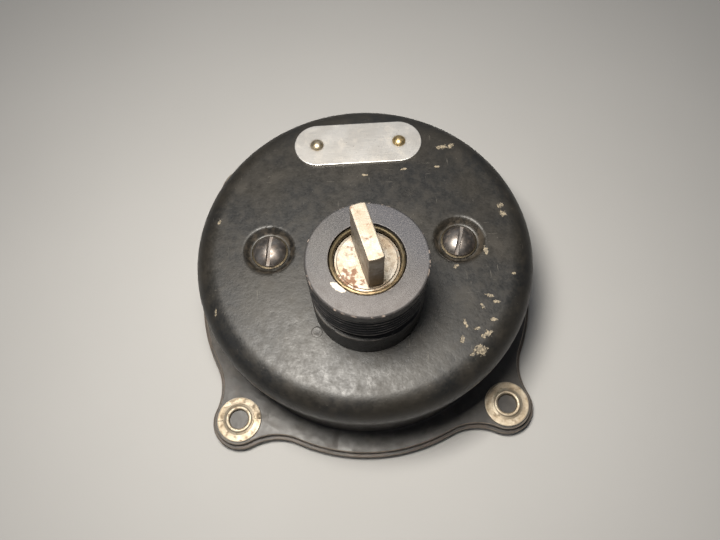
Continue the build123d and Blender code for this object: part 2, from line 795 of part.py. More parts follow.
with BuildPart() as stator_feet:
    with BuildSketch(Plane.XY.offset(feet_bottom)):
        with Locations(rod_places):
            Circle(rod_spacer_radius)
            Circle(rod_radius + slide_gap, mode=Mode.SUBTRACT)
    extrude(amount=stack_bottom - feet_bottom)
stator_feet.part.label = "stator_feet"
export_step(stator_feet.part, "parts/stator_feet.step")

for index, level in enumerate(stator_levels, start=1):
    with BuildPart() as stator_vane:
        with BuildSketch(Plane.XY.offset(level)):
            with Locations((0, -shaft_offset)):
                Circle(stator_radius)
                Circle(stator_cutout_radius, mode=Mode.SUBTRACT)
            with Locations((0, -shaft_offset + stator_edge_setback - stator_radius)):
                Rectangle(2 * stator_radius, 2 * stator_radius, mode=Mode.SUBTRACT)
            with Locations(rod_places):
                Circle(ear_radius)
                Circle(rod_radius + slide_gap, mode=Mode.SUBTRACT)
        extrude(amount=vane_thickness)
    stator_vane.part.label = f"stator_vane_{index}"
    export_step(stator_vane.part, f"parts/stator_vane_{index}.step")

with BuildPart() as stator_spacers:
    for level in stator_levels[:-1]:
        with BuildSketch(Plane.XY.offset(level + vane_thickness)):
            with Locations(rod_places):
                Circle(rod_spacer_radius)
                Circle(rod_radius + slide_gap, mode=Mode.SUBTRACT)
        extrude(amount=vane_pitch - vane_thickness)
stator_spacers.part.label = "stator_spacers"
export_step(stator_spacers.part, "parts/stator_spacers.step")

with BuildPart() as stator_nuts:
    with BuildSketch(Plane.XY.offset(stack_top)):
        with Locations(rod_places):
            RegularPolygon(rod_nut_radius, 6)
            Circle(rod_radius + slide_gap, mode=Mode.SUBTRACT)
    extrude(amount=rod_nut_thickness)
stator_nuts.part.label = "stator_nuts"
export_step(stator_nuts.part, "parts/stator_nuts.step")


# ---------------------------------------------------------------- tubular terminals
def terminal_profile(seat):
    """Half section of a flanged tube that is flush with the back plate's underside."""
    Polyline(
        (terminal_hole_radius, plate_bottom),
        (terminal_tube_radius, plate_bottom),
        (terminal_tube_radius, seat),
        (terminal_flange_radius, seat),
        (terminal_flange_radius, seat + terminal_flange_height),
        (terminal_hole_radius, seat + terminal_flange_height),
        close=True,
    )


with BuildPart() as stator_terminal:
    with BuildSketch(section_at(0, terminal_y)):
        with BuildLine():
            terminal_profile(plate_top + strap_thickness)
        make_face()
    revolve(axis=axis_at(0, terminal_y))
stator_terminal.part.label = "stator_terminal"
export_step(stator_terminal.part, "parts/stator_terminal.step")

with BuildPart() as rotor_terminal:
    with BuildSketch(section_at(*wiper_place)):
        with BuildLine():
            terminal_profile(plate_top + wiper_thickness)
        make_face()
    revolve(axis=axis_at(*wiper_place))
rotor_terminal.part.label = "rotor_terminal"
export_step(rotor_terminal.part, "parts/rotor_terminal.step")

with BuildPart() as rotor_wiper:
    foot_end = wiper_place[1] + terminal_flange_radius + wiper_thickness
    foot_start = wiper_place[1] - terminal_flange_radius
    tip_start = -shaft_offset - wiper_reach - wiper_tip_length / 2
    tip_end = tip_start + wiper_tip_length
    tip_top = contact_disc_bottom - slide_gap
    with BuildSketch(Plane.YZ.offset(-wiper_width / 2)):
        with BuildLine():
            Polyline(
                (foot_start, plate_top),
                (foot_end, plate_top),
                (tip_start, tip_top - wiper_thickness),
                (tip_end, tip_top - wiper_thickness),
                (tip_end, tip_top),
                (tip_start - wiper_thickness / 2, tip_top),
                (foot_end - wiper_thickness / 2, plate_top + wiper_thickness),
                (foot_start, plate_top + wiper_thickness),
                close=True,
            )
        make_face()
    extrude(amount=wiper_width)
    with BuildSketch(Plane.XY.offset(plate_top)):
        with Locations(wiper_place):
            Circle(terminal_tube_radius + slide_gap)
    extrude(amount=wiper_thickness, mode=Mode.SUBTRACT)
rotor_wiper.part.label = "rotor_wiper"
export_step(rotor_wiper.part, "parts/rotor_wiper.step")
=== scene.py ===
import json
import logging
import math
from collections.abc import Callable, Sequence
from dataclasses import dataclass
from enum import Enum
from functools import reduce

import bmesh
import bpy
from mathutils import Matrix, Vector, noise


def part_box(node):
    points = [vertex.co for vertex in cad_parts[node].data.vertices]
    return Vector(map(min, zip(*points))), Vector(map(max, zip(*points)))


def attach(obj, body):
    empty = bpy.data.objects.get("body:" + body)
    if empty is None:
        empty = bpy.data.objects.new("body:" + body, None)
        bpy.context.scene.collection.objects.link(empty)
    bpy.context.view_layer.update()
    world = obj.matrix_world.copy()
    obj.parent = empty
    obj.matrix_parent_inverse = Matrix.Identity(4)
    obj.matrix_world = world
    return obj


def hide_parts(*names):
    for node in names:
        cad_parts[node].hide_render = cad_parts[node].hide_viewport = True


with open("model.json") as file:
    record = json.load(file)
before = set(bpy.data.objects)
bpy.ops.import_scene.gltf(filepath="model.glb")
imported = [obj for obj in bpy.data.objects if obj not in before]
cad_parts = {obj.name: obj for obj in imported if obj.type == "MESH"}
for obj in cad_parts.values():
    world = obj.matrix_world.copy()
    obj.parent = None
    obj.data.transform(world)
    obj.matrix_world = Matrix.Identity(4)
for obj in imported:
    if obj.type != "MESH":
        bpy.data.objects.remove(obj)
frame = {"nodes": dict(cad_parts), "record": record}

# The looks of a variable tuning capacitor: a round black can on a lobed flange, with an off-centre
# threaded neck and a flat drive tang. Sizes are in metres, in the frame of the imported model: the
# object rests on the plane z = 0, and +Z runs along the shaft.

MM = 0.001
FULL_TURN = 2 * math.pi
UP = Vector((0, 0, 1))
TINY = 0.0005 * MM
WELD = 10 * TINY
CREASE = math.radians(38.0)
EYELETS = next(mount for mount in frame["record"]["mounts"] if mount["name"] == "corner_eyelets")["dims"]
Colour = tuple[float, float, float]
Point = tuple[float, float]

logging.basicConfig(level=logging.INFO, format="%(message)s")
log = logging.getLogger("capacitor")


class Body(Enum):
    """The two bodies that pieces ride on."""

    CASE = "case"
    ROTOR = "rotor"


# ------------------------------------------------------------------------------ shader maths


class Wire:
    """An output socket that takes part in arithmetic as a number does."""

    def __init__(self, recipe: "Recipe", socket: bpy.types.NodeSocket) -> None:
        """Keeps the socket and the recipe that it belongs to."""
        self.recipe = recipe
        self.socket = socket

    def maths(self, operation: str, first: "Wire | float", second: "Wire | float" = 0.0) -> "Wire":
        """Adds a Math node.

        Args:
            operation: The Math node's operation.
            first: Its first value.
            second: Its second value, for an operation that has two.

        Returns:
            The node's result.
        """
        return self.recipe.node("ShaderNodeMath", {0: first, 1: second}, operation=operation)

    def __add__(self, other: "Wire | float") -> "Wire":
        """Sum."""
        return self.maths("ADD", self, other)

    def __radd__(self, other: float) -> "Wire":
        """Sum with a number on the left."""
        return self.maths("ADD", other, self)

    def __sub__(self, other: "Wire | float") -> "Wire":
        """Difference."""
        return self.maths("SUBTRACT", self, other)

    def __rsub__(self, other: float) -> "Wire":
        """Difference from a number on the left."""
        return self.maths("SUBTRACT", other, self)

    def __mul__(self, other: "Wire | float") -> "Wire":
        """Product."""
        return self.maths("MULTIPLY", self, other)

    def __truediv__(self, other: "Wire | float") -> "Wire":
        """Quotient."""
        return self.maths("DIVIDE", self, other)

    def __abs__(self) -> "Wire":
        """Size without the sign."""
        return self.maths("ABSOLUTE", self)

    def lowest(self, other: "Wire | float") -> "Wire":
        """The lower of the two."""
        return self.maths("MINIMUM", self, other)

    def highest(self, other: "Wire | float") -> "Wire":
        """The higher of the two."""
        return self.maths("MAXIMUM", self, other)

    def rise(self, low: float, high: float) -> "Wire":
        """Smooth step: 0 below the low value and 1 above the high one."""
        ends = {"Value": self, "From Min": low, "From Max": high}
        return self.recipe.node("ShaderNodeMapRange", ends, "Result", interpolation_type="SMOOTHSTEP")

    def fall(self, low: float, high: float) -> "Wire":
        """Smooth step down: 1 below the low value and 0 above the high one."""
        return 1 - self.rise(low, high)


class Recipe:
    """A node material in the making."""

    def __init__(self, name: str) -> None:
        """Starts an empty material with its object coordinates.

        Args:
            name: The material's name.
        """
        self.material = bpy.data.materials.new(name)
        self.material.use_nodes = True
        self.tree = self.material.node_tree
        self.tree.nodes.clear()
        self.place = self.node("ShaderNodeTexCoord", {}, "Object")

    def node(
        self, kind: str, values: dict[int | str, object], output: int | str = 0, **settings: object
    ) -> Wire:
        """Adds a node.

        Args:
            kind: The node's type.
            values: A number, colour, vector or wire for each named or numbered input.
            output: Which output is wanted.
            settings: Its properties, which are set before its inputs.

        Returns:
            The wanted output.
        """
        made = self.tree.nodes.new(kind)
        for name, value in settings.items():
            setattr(made, name, value)
        for name, value in values.items():
            self.feed(made.inputs[name], value)
        return Wire(self, made.outputs[output])

    def feed(self, socket: bpy.types.NodeSocket, value: object) -> None:
        """Links or sets one input.

        Args:
            socket: The input.
            value: A wire, a number, a vector or a colour without its alpha.
        """
        if isinstance(value, Wire):
            self.tree.links.new(value.socket, socket)
        elif socket.type == "RGBA":
            socket.default_value = (*value, 1.0)
        else:
            socket.default_value = value

    def vector(self, operation: str, first: Wire, second: object = (0, 0, 0), output: int | str = 0) -> Wire:
        """Adds a Vector Math node.

        Args:
            operation: Its operation.
            first: Its first vector.
            second: Its second vector, for an operation that has two.
            output: Which output is wanted.

        Returns:
            The wanted output.
        """
        return self.node("ShaderNodeVectorMath", {0: first, 1: second}, output, operation=operation)

    def cloud(self, size: float, detail: float = 4.0, stretch: Colour = (1, 1, 1)) -> Wire:
        """Soft noise.

        Args:
            size: The size of its lumps.
            detail: How many finer layers it has.
            stretch: How much longer the lumps are along each axis.

        Returns:
            A value about 0.5.
        """
        scaled = self.vector("DIVIDE", self.place, tuple(size * part for part in stretch))
        return self.node("ShaderNodeTexNoise", {"Vector": scaled, "Scale": 1.0, "Detail": detail})

    def specks(self, size: float) -> Wire:
        """Distance from the nearest of many scattered points, as a share of their spacing."""
        return self.node("ShaderNodeTexVoronoi", {"Vector": self.place, "Scale": 1 / size})

    def mix(self, share: Wire | float, first: Wire | Colour, second: Wire | Colour) -> Wire:
        """Blends two colours; the share says how much of the second one shows."""
        return self.node("ShaderNodeMix", {0: share, 6: first, 7: second}, 2, data_type="RGBA")

    def along(self, axis: str) -> Wire:
        """One coordinate of the place, X, Y or Z."""
        return self.node("ShaderNodeSeparateXYZ", {0: self.place}, axis)

    def within(self, centre: Vector, reach: Vector, turn: float = 0.0) -> Wire:
        """Distance from a centre, measured in an ellipsoid's own half lengths.

        Args:
            centre: The middle of the ellipsoid.
            reach: Its half lengths.
            turn: How far it is turned about the upright, in radians.

        Returns:
            0 in the middle and 1 on the ellipsoid.
        """
        ellipsoid = {"Vector": self.place, "Location": centre, "Rotation": (0, 0, turn), "Scale": reach}
        local = self.node("ShaderNodeMapping", ellipsoid, vector_type="TEXTURE")
        return self.vector("LENGTH", local, output="Value")

    def radius(self, axis: Vector) -> Wire:
        """Distance from an upright axis through a point."""
        flat = self.vector("MULTIPLY", self.vector("SUBTRACT", self.place, axis), (1, 1, 0))
        return self.vector("LENGTH", flat, output="Value")

    def near_ring(self, axis: Vector, radius: float, height: float, width: float) -> Wire:
        """Mask of a level circle's neighbourhood.

        Args:
            axis: A point on the circle's axis.
            radius: The circle's radius.
            height: Its level.
            width: How far the mask reaches.

        Returns:
            1 on the circle, 0 beyond the width.
        """
        out = self.radius(axis) - radius
        up = self.along("Z") - height
        squares = out * out + up * up
        return squares.maths("SQRT", squares).fall(0.0, width)

    def complete(self, coat: "Coat", specular: float = 0.5) -> bpy.types.Material:
        """Adds the shader and the material's output.

        Args:
            coat: What varies over the surface.
            specular: The shader's specular level.

        Returns:
            The finished material.
        """
        relief = {"Strength": 1.0, "Distance": 1.0, "Height": coat.height}
        surface = {
            "Base Color": coat.colour,
            "Roughness": coat.roughness,
            "Metallic": coat.metallic,
            "Specular IOR Level": specular,
            "Normal": self.node("ShaderNodeBump", relief, "Normal"),
        }
        shader = self.node("ShaderNodeBsdfPrincipled", surface)
        output = self.tree.nodes.new("ShaderNodeOutputMaterial")
        self.tree.links.new(shader.socket, output.inputs["Surface"])
        return self.material


@dataclass
class Coat:
    """What varies over a surface while its recipe is worked out."""

    colour: Wire
    roughness: Wire
    metallic: Wire | float
    height: Wire

    @property
    def recipe(self) -> Recipe:
        """The material in the making."""
        return self.colour.recipe

    def lay(
        self, share: Wire, tone: Wire | Colour, cover: float,
        rough: float = 0.0, metal: float = 0.0, lift: float = 0.0,
    ) -> None:
        """Lays another tone over a part of the surface.

        Args:
            share: Where it lies, from 0 to 1.
            tone: Its colour.
            cover: How much it hides of what is beneath it.
            rough: What it adds to the roughness.
            metal: What it adds to the metallic share.
            lift: What it adds to the height.
        """
        self.colour = self.recipe.mix(share * cover, self.colour, tone)
        if rough:
            self.roughness = self.roughness + share * rough
        if metal:
            self.metallic = self.metallic + share * metal
        if lift:
            self.height = self.height + share * lift


# ------------------------------------------------------------------------------ finishes


@dataclass(frozen=True)
class Finish:
    """A finish: a base tone that drifts, fine grain, grime, and edges worn to another tone."""

    name: str
    base: Colour
    drift: Colour
    grime: Colour
    worn: Colour
    roughness: float
    metallic: float = 1.0
    worn_metallic: float = 1.0
    drift_size: float = 6.0 * MM
    grain_size: float = 0.22 * MM
    relief: float = 0.006 * MM
    grime_share: float = 0.35
    wear_share: float = 0.8

    def plain(self, recipe: Recipe) -> Coat:
        """Works out the layers that every finish has.

        Args:
            recipe: The material in the making.

        Returns:
            The layers.
        """
        grain = recipe.cloud(self.grain_size, 5.0)
        drift = recipe.cloud(self.drift_size).rise(0.36, 0.64)
        grime = recipe.cloud(self.drift_size * 0.45, 6.0).rise(0.5, 0.72) * self.grime_share
        edge = recipe.node("ShaderNodeAttribute", {}, "Fac", attribute_name="wear")
        worn = (edge * 1.3 + recipe.cloud(1.1 * MM, 6.0) - 0.5).rise(0.62, 0.9) * self.wear_share
        colour = recipe.mix(drift, self.base, self.drift)
        colour = recipe.mix(grime, colour, self.grime)
        colour = recipe.mix((grain - 0.5) * 0.5 + 0.12, colour, self.grime)
        roughness = self.roughness + (grain - 0.5) * 0.22 + grime * 0.25 + worn * 0.05
        to_worn = self.worn_metallic - self.metallic
        metallic = self.metallic + worn * to_worn - grime * (0.4 * self.metallic)
        return Coat(recipe.mix(worn, colour, self.worn), roughness, metallic, grain * self.relief)

    def details(self, coat: Coat) -> None:
        """Adds what only one kind of finish has; a plain finish has nothing more."""

    def material(self) -> bpy.types.Material:
        """Makes the material.

        Returns:
            The finished material.
        """
        recipe = Recipe(self.name)
        coat = self.plain(recipe)
        self.details(coat)
        return recipe.complete(coat)


@dataclass(frozen=True)
class Chip:
    """A place where the enamel has come off, in millimetres, with its turn in degrees."""

    x: float
    y: float
    length: float
    width: float
    turn: float = 0.0
    drop: float = 0.0
    depth: float = 4.0

    def gap(self, recipe: Recipe, top: float) -> Wire:
        """Distance from the chip's middle.

        Args:
            recipe: The material in the making.
            top: The level of the enamelled face.

        Returns:
            The distance, 1 at the chip's own half lengths.
        """
        centre = Vector((self.x * MM, self.y * MM, top - self.drop * MM))
        reach = Vector((self.length, self.width, self.depth)) * MM
        return recipe.within(centre, reach, math.radians(self.turn))


@dataclass(frozen=True)
class ChippedEnamel(Finish):
    """Stoved enamel with fine dust specks, hairline scratches and chips down to the metal."""

    chips: tuple[Chip, ...] = ()
    top: float = 0.0
    seats: tuple[Vector, ...] = ()
    seat_radius: float = 0.0
    seat_tone: Colour = (0.085, 0.068, 0.05)
    bare: Colour = (0.27, 0.225, 0.16)
    bare_dark: Colour = (0.1, 0.085, 0.062)
    dust: Colour = (0.13, 0.12, 0.1)
    rubbed: Colour = (0.022, 0.0185, 0.014)
    scratches: tuple[Colour, ...] = ((14.0, 1.0, 1.0), (1.0, 17.0, 1.0))

    def details(self, coat: Coat) -> None:
        """Adds dust, scratches, a mottle, dirt round the screw seats, and chips.

        Args:
            coat: The plain layers, which it changes.
        """
        recipe = coat.recipe
        dust = recipe.specks(0.9 * MM).fall(0.06, 0.16) * recipe.cloud(5 * MM).rise(0.52, 0.66)
        coat.lay(dust, self.dust, 0.5)
        for stretch in self.scratches:
            coat.lay(recipe.cloud(0.34 * MM, 2.0, stretch).rise(0.735, 0.775), self.dust, 0.5, rough=0.12)
        mottle = recipe.cloud(1.7 * MM, 7.0)
        coat.lay(mottle.rise(0.46, 0.66), self.rubbed, 0.35)
        coat.roughness = coat.roughness + (mottle - 0.5) * 0.3
        coat.height = coat.height + mottle * (0.05 * MM)
        for seat in self.seats:
            ring = abs(recipe.radius(seat) - self.seat_radius).fall(0.2 * MM, 0.9 * MM)
            coat.lay(ring * mottle.rise(0.4, 0.6), self.seat_tone, 0.45)
        if self.chips:
            gap = reduce(Wire.lowest, [chip.gap(recipe, self.top) for chip in self.chips])
            bare = (gap + (recipe.cloud(0.55 * MM, 6.0) - 0.5) * 2.2).fall(0.62, 0.95)
            shade = recipe.cloud(0.4 * MM, 6.0).rise(0.42, 0.6)
            metal = recipe.mix(shade, self.bare, self.bare_dark)
            coat.lay(bare, metal, 1.0, rough=0.2, lift=-0.05 * MM)


@dataclass(frozen=True)
class LayeredSheet(Finish):
    """Pressed sheet whose cut edges show its thin layers."""

    layer: Colour = (0.1, 0.07, 0.05)

    def details(self, coat: Coat) -> None:
        """Adds the layers' lines to the plain layers."""
        lines = coat.recipe.cloud(0.16 * MM, 3.0, (30.0, 30.0, 1.0)).rise(0.45, 0.62)
        coat.lay(lines, self.layer, 0.45, lift=0.01 * MM)


@dataclass(frozen=True)
class WornNeck(Finish):
    """Blackened brass, rubbed bright in fragments along its turned edges."""

    axis: Vector = Vector()
    radius: float = 0.0
    bore: float = 0.0
    face: float = 0.0
    thread_top: float = 0.0
    thread_bottom: float = 0.0
    collar_top: float = 0.0
    crest_wear_and_glint: Colour = (0.11, 0.1, 0.095)
    smear: Colour = (0.5, 0.46, 0.4)
    smear_offset: Vector = Vector((-5.3, -5.1, 0)) * MM
    smear_reach: Vector = Vector((1.7, 0.7, 0.6)) * MM
    smear_turn: float = math.radians(-38)
    # painted light: a lighter, warmer tint for the front of the face
    front_light_tint: Colour = (0.075, 0.06, 0.056)
    painted_sheen: Colour = (0.03, 0.032, 0.045)
    # painted shade colour for the face's rounded outer edge
    edge: Colour = (0.009, 0.009, 0.01)
    painted_edge_highlight: Colour = (0.19, 0.17, 0.15)
    fleck: Colour = (0.1, 0.092, 0.094)

    def details(self, coat: Coat) -> None:
        """Adds the face's marks: painted light on its front, a painted sheen at its back, flecks, painted
        shade on its rounded edge, rubbed edges, bright thread crests that are rubbed brass with a painted
        glint, painted highlight rings under the lip and on the collar, and a pale smear.

        Args:
            coat: The plain layers, which it changes.
        """
        recipe = coat.recipe
        height = recipe.along("Z")
        out = recipe.radius(self.axis)
        on_face = height.rise(self.face - 0.25 * MM, self.face - 0.1 * MM)
        across = recipe.along("Y") - self.axis.y
        # painted light: the front of the face, towards the key light, is tinted lighter and warmer
        front_lit = (across + recipe.cloud(4 * MM) * (6 * MM)).fall(-9 * MM, 5 * MM)
        coat.lay(front_lit * on_face, self.front_light_tint, 0.5)
        # painted sheen: a cool, slightly lighter tone towards the back and right of the face
        coat.lay((recipe.along("X") + across).rise(2 * MM, 13 * MM) * on_face, self.painted_sheen, 0.5)
        coat.lay(recipe.cloud(0.24 * MM, 2.0).rise(0.5, 0.68) * on_face, self.fleck, 0.6, rough=0.12)
        # painted shade: the rounded outer edge of the face is darkened, and its roughness raised
        edge = out.rise(self.radius - 0.5 * MM, self.radius - 0.22 * MM)
        coat.lay(edge, self.edge, 0.8)
        coat.roughness = coat.roughness + edge * on_face * 0.35
        fragments = recipe.cloud(0.9 * MM, 5.0)
        rim = recipe.near_ring(self.axis, self.radius - 0.08 * MM, self.face - 0.08 * MM, 0.34 * MM)
        inner = recipe.near_ring(self.axis, self.bore, self.face, 0.3 * MM)
        bright = (rim * fragments.rise(0.54, 0.62)).highest(inner * fragments.rise(0.55, 0.63))
        coat.lay(bright * recipe.cloud(6 * MM, 2.0).rise(0.44, 0.6), self.worn, 0.55)
        threaded = height.rise(self.thread_bottom, self.thread_bottom + 0.2 * MM)
        threaded = threaded * height.fall(self.thread_top - 0.2 * MM, self.thread_top)
        # bright thread crests: rubbed brass, with a painted glint along each crest
        crest = out.rise(self.radius - 0.09 * MM, self.radius - 0.02 * MM) * threaded
        coat.lay(crest * recipe.cloud(2.2 * MM, 5.0).rise(0.45, 0.62), self.crest_wear_and_glint, 0.8, rough=-0.08)
        # painted highlight: bright rings under the lip and along the collar's top edge
        under_lip = recipe.near_ring(self.axis, self.radius, self.thread_top, 0.3 * MM)
        collar_edge = recipe.near_ring(self.axis, self.radius, self.collar_top, 0.3 * MM)
        highlight_rings = under_lip.highest(collar_edge) * recipe.cloud(3 * MM).rise(0.36, 0.52)
        coat.lay(highlight_rings, self.painted_edge_highlight, 0.7)
        corner = self.axis + self.smear_offset + UP * self.face
        smear = recipe.within(corner, self.smear_reach, self.smear_turn)
        smear = (smear + (recipe.cloud(0.5 * MM, 5.0) - 0.5) * 0.9).fall(0.75, 0.95)
        coat.lay(smear, self.smear, 1.0, rough=0.25, metal=-0.3, lift=0.02 * MM)


@dataclass(frozen=True)
class TurnedMetal(Finish):
    """Metal with the fine rings of a lathe tool about an axis."""

    axis: Vector = Vector()
    ring_pitch: float = 0.16 * MM

    def details(self, coat: Coat) -> None:
        """Adds tool rings to the plain layers.

        Args:
            coat: The plain layers, which it changes.
        """
        radius = coat.recipe.radius(self.axis)
        rings = {"W": radius / self.ring_pitch, "Scale": 1.0, "Detail": 2.0}
        track = coat.recipe.node("ShaderNodeTexNoise", rings, noise_dimensions="1D")
        coat.height = coat.height + track * (0.005 * MM)
        coat.roughness = coat.roughness + (track - 0.5) * 0.1


@dataclass(frozen=True)
class ShadedBronze(TurnedMetal):
    """Turned bronze, with painted shade at the back of its ring."""

    back_shade: Colour = (0.05, 0.042, 0.026)

    def details(self, coat: Coat) -> None:
        """Adds painted shade at the back of the ring to the turned layers.

        Args:
            coat: The plain layers, which it changes.
        """
        super().details(coat)
        # painted shade: the back (+Y) side of the bush's ring is darkened
        back = coat.recipe.along("Y") - self.axis.y + coat.recipe.cloud(1.6 * MM) * (3 * MM)
        coat.lay(back.rise(-3.4 * MM, 1.2 * MM), self.back_shade, 0.85, rough=0.1275)


@dataclass(frozen=True)
class StainedNickel(TurnedMetal):
    """Nickel with red-brown stains where the plating has gone."""

    stain: Colour = (0.17, 0.082, 0.045)
    stain_centre: Vector = Vector()
    stain_reach: Vector = Vector((1, 1, 1))
    tarnish: Colour = (0.25, 0.185, 0.12)

    def details(self, coat: Coat) -> None:
        """Adds a film of tarnish, and stains that are thickest in one place.

        Args:
            coat: The plain layers, which it changes.
        """
        super().details(coat)
        recipe = coat.recipe
        coat.lay(recipe.cloud(3.2 * MM, 5.0).rise(0.42, 0.68), self.tarnish, 0.55, rough=0.055)
        middle = recipe.within(self.stain_centre, self.stain_reach).fall(0.3, 1.4)
        stained = (recipe.cloud(1.1 * MM, 7.0) + middle * 0.2).rise(0.6, 0.72)
        coat.lay(stained, self.stain, 0.85, rough=0.25, metal=-0.6, lift=-0.008 * MM)


@dataclass(frozen=True)
class SatinPlate(Finish):
    """Aluminium sheet, brushed lengthways, with nicks, and grime gathered round its pins."""

    brush_length: float = 40.0
    pins: tuple[Vector, ...] = ()
    pin_reach: float = 2.4 * MM

    def details(self, coat: Coat) -> None:
        """Adds brush lines, nicks and grime round the pins.

        Args:
            coat: The plain layers, which it changes.
        """
        recipe = coat.recipe
        brush = recipe.cloud(0.1 * MM, 3.0, (self.brush_length, 1.0, 1.0))
        coat.lay((brush - 0.5).rise(0.0, 0.3), self.grime, 0.25)
        coat.roughness = coat.roughness + (brush - 0.5) * 0.25
        coat.height = coat.height + brush * (0.004 * MM)
        coat.lay(recipe.specks(1.3 * MM).fall(0.05, 0.12), self.grime, 0.5)
        for pin in self.pins:
            near = recipe.radius(pin) + recipe.cloud(0.8 * MM) * (0.8 * MM)
            coat.lay(near.fall(1.6 * MM, self.pin_reach), self.grime, 0.6)


@dataclass(frozen=True)
class DarkBore(Finish):
    """Metal with painted shade deep inside its bores, in an olive-brown tone."""

    bores: tuple[Vector, ...] = ()
    bore_radius: float = 0.0
    bore_top: float = 0.0
    bore_shade: Colour = (0.085, 0.066, 0.036)

    def details(self, coat: Coat) -> None:
        """Darkens the inside of each bore below its mouth with painted shade.

        Args:
            coat: The plain layers, which it changes.
        """
        deep = coat.recipe.along("Z").fall(self.bore_top - 1.1 * MM, self.bore_top - 0.5 * MM)
        for bore in self.bores:
            out = coat.recipe.radius(bore)
            inside = out.fall(self.bore_radius + 0.05 * MM, self.bore_radius + 0.15 * MM)
            # painted shade inside the bore, below its mouth
            coat.lay(inside * deep, self.bore_shade, 0.9, metal=-0.5)


@dataclass(frozen=True)
class TwoTonePins(Finish):
    """Pin heads whose colour changes from one side of the object to the other."""

    other: Colour = (0.5, 0.36, 0.16)

    def details(self, coat: Coat) -> None:
        """Tints the pins on the right."""
        coat.lay(coat.recipe.along("X").rise(-1 * MM, 1 * MM), self.other, 0.75)


# ------------------------------------------------------------------------------ blanks


@dataclass(frozen=True)
class Round:
    """A round solid seen from above."""

    centre: Vector
    radius: float
    low: float
    high: float

    @classmethod
    def filling(cls, low: Vector, high: Vector) -> "Round":
        """The round solid that fills a box."""
        middle = (low + high) / 2
        return cls(Vector((middle.x, middle.y, 0)), (high.x - low.x) / 2, low.z, high.z)


def islands(node: str) -> list[Round]:
    """Finds the separate solids of a CAD node.

    Args:
        node: The CAD node.

    Returns:
        The solids, from left to right and then from front to back.
    """
    mesh = bmesh.new()
    mesh.from_mesh(frame["nodes"][node].data)
    bmesh.ops.remove_doubles(mesh, verts=mesh.verts, dist=WELD)
    waiting = set(mesh.verts)
    found = []
    while waiting:
        group, edge_of = set(), [next(iter(waiting))]
        while edge_of:
            vert = edge_of.pop()
            if vert not in group:
                group.add(vert)
                edge_of += [edge.other_vert(vert) for edge in vert.link_edges]
        waiting -= group
        low, high = (
            Vector(extreme(vert.co[axis] for vert in group) for axis in range(3)) for extreme in (min, max)
        )
        found.append(Round.filling(low, high))
    mesh.free()
    return sorted(found, key=lambda item: (round(item.centre.x, 5), item.centre.y))


def arc(centre: Point, radius: float, start: float, end: float, steps: int) -> list[Point]:
    """Points of an arc in a lathe outline.

    Args:
        centre: Radius and height of its centre.
        radius: Its own radius.
        start: The angle of its first point, in degrees from outwards, upwards positive.
        end: The angle of its last point.
        steps: How many steps it has.

    Returns:
        The points, both ends included.
    """
    angles = (math.radians(start + (end - start) * step / steps) for step in range(steps + 1))
    return [(centre[0] + radius * math.cos(a), centre[1] + radius * math.sin(a)) for a in angles]


def dome(radius: float, foot: float, top: float, steps: int) -> list[Point]:
    """Points of a round head's profile, from its top to its edge.

    Args:
        radius: The radius of its edge.
        foot: The level of its edge.
        top: The level of its top.
        steps: How many steps it has.

    Returns:
        The points, both ends included.
    """
    rise = top - foot
    ball = (radius**2 + rise**2) / (2 * rise)
    return arc((0, top - ball), ball, 90, 90 - math.degrees(math.asin(min(1.0, radius / ball))), steps)


def spread(start: float, end: float, step: float) -> list[float]:
    """Even values from start up to but not including end, about a step apart."""
    count = max(1, round(abs(end - start) / step))
    return [start + (end - start) * index / count for index in range(count)]


def ease(value: float, low: float, high: float) -> float:
    """Smooth step of a number from 0 at low to 1 at high."""
    share = min(1.0, max(0.0, (value - low) / (high - low)))
    return share * share * (3 - 2 * share)


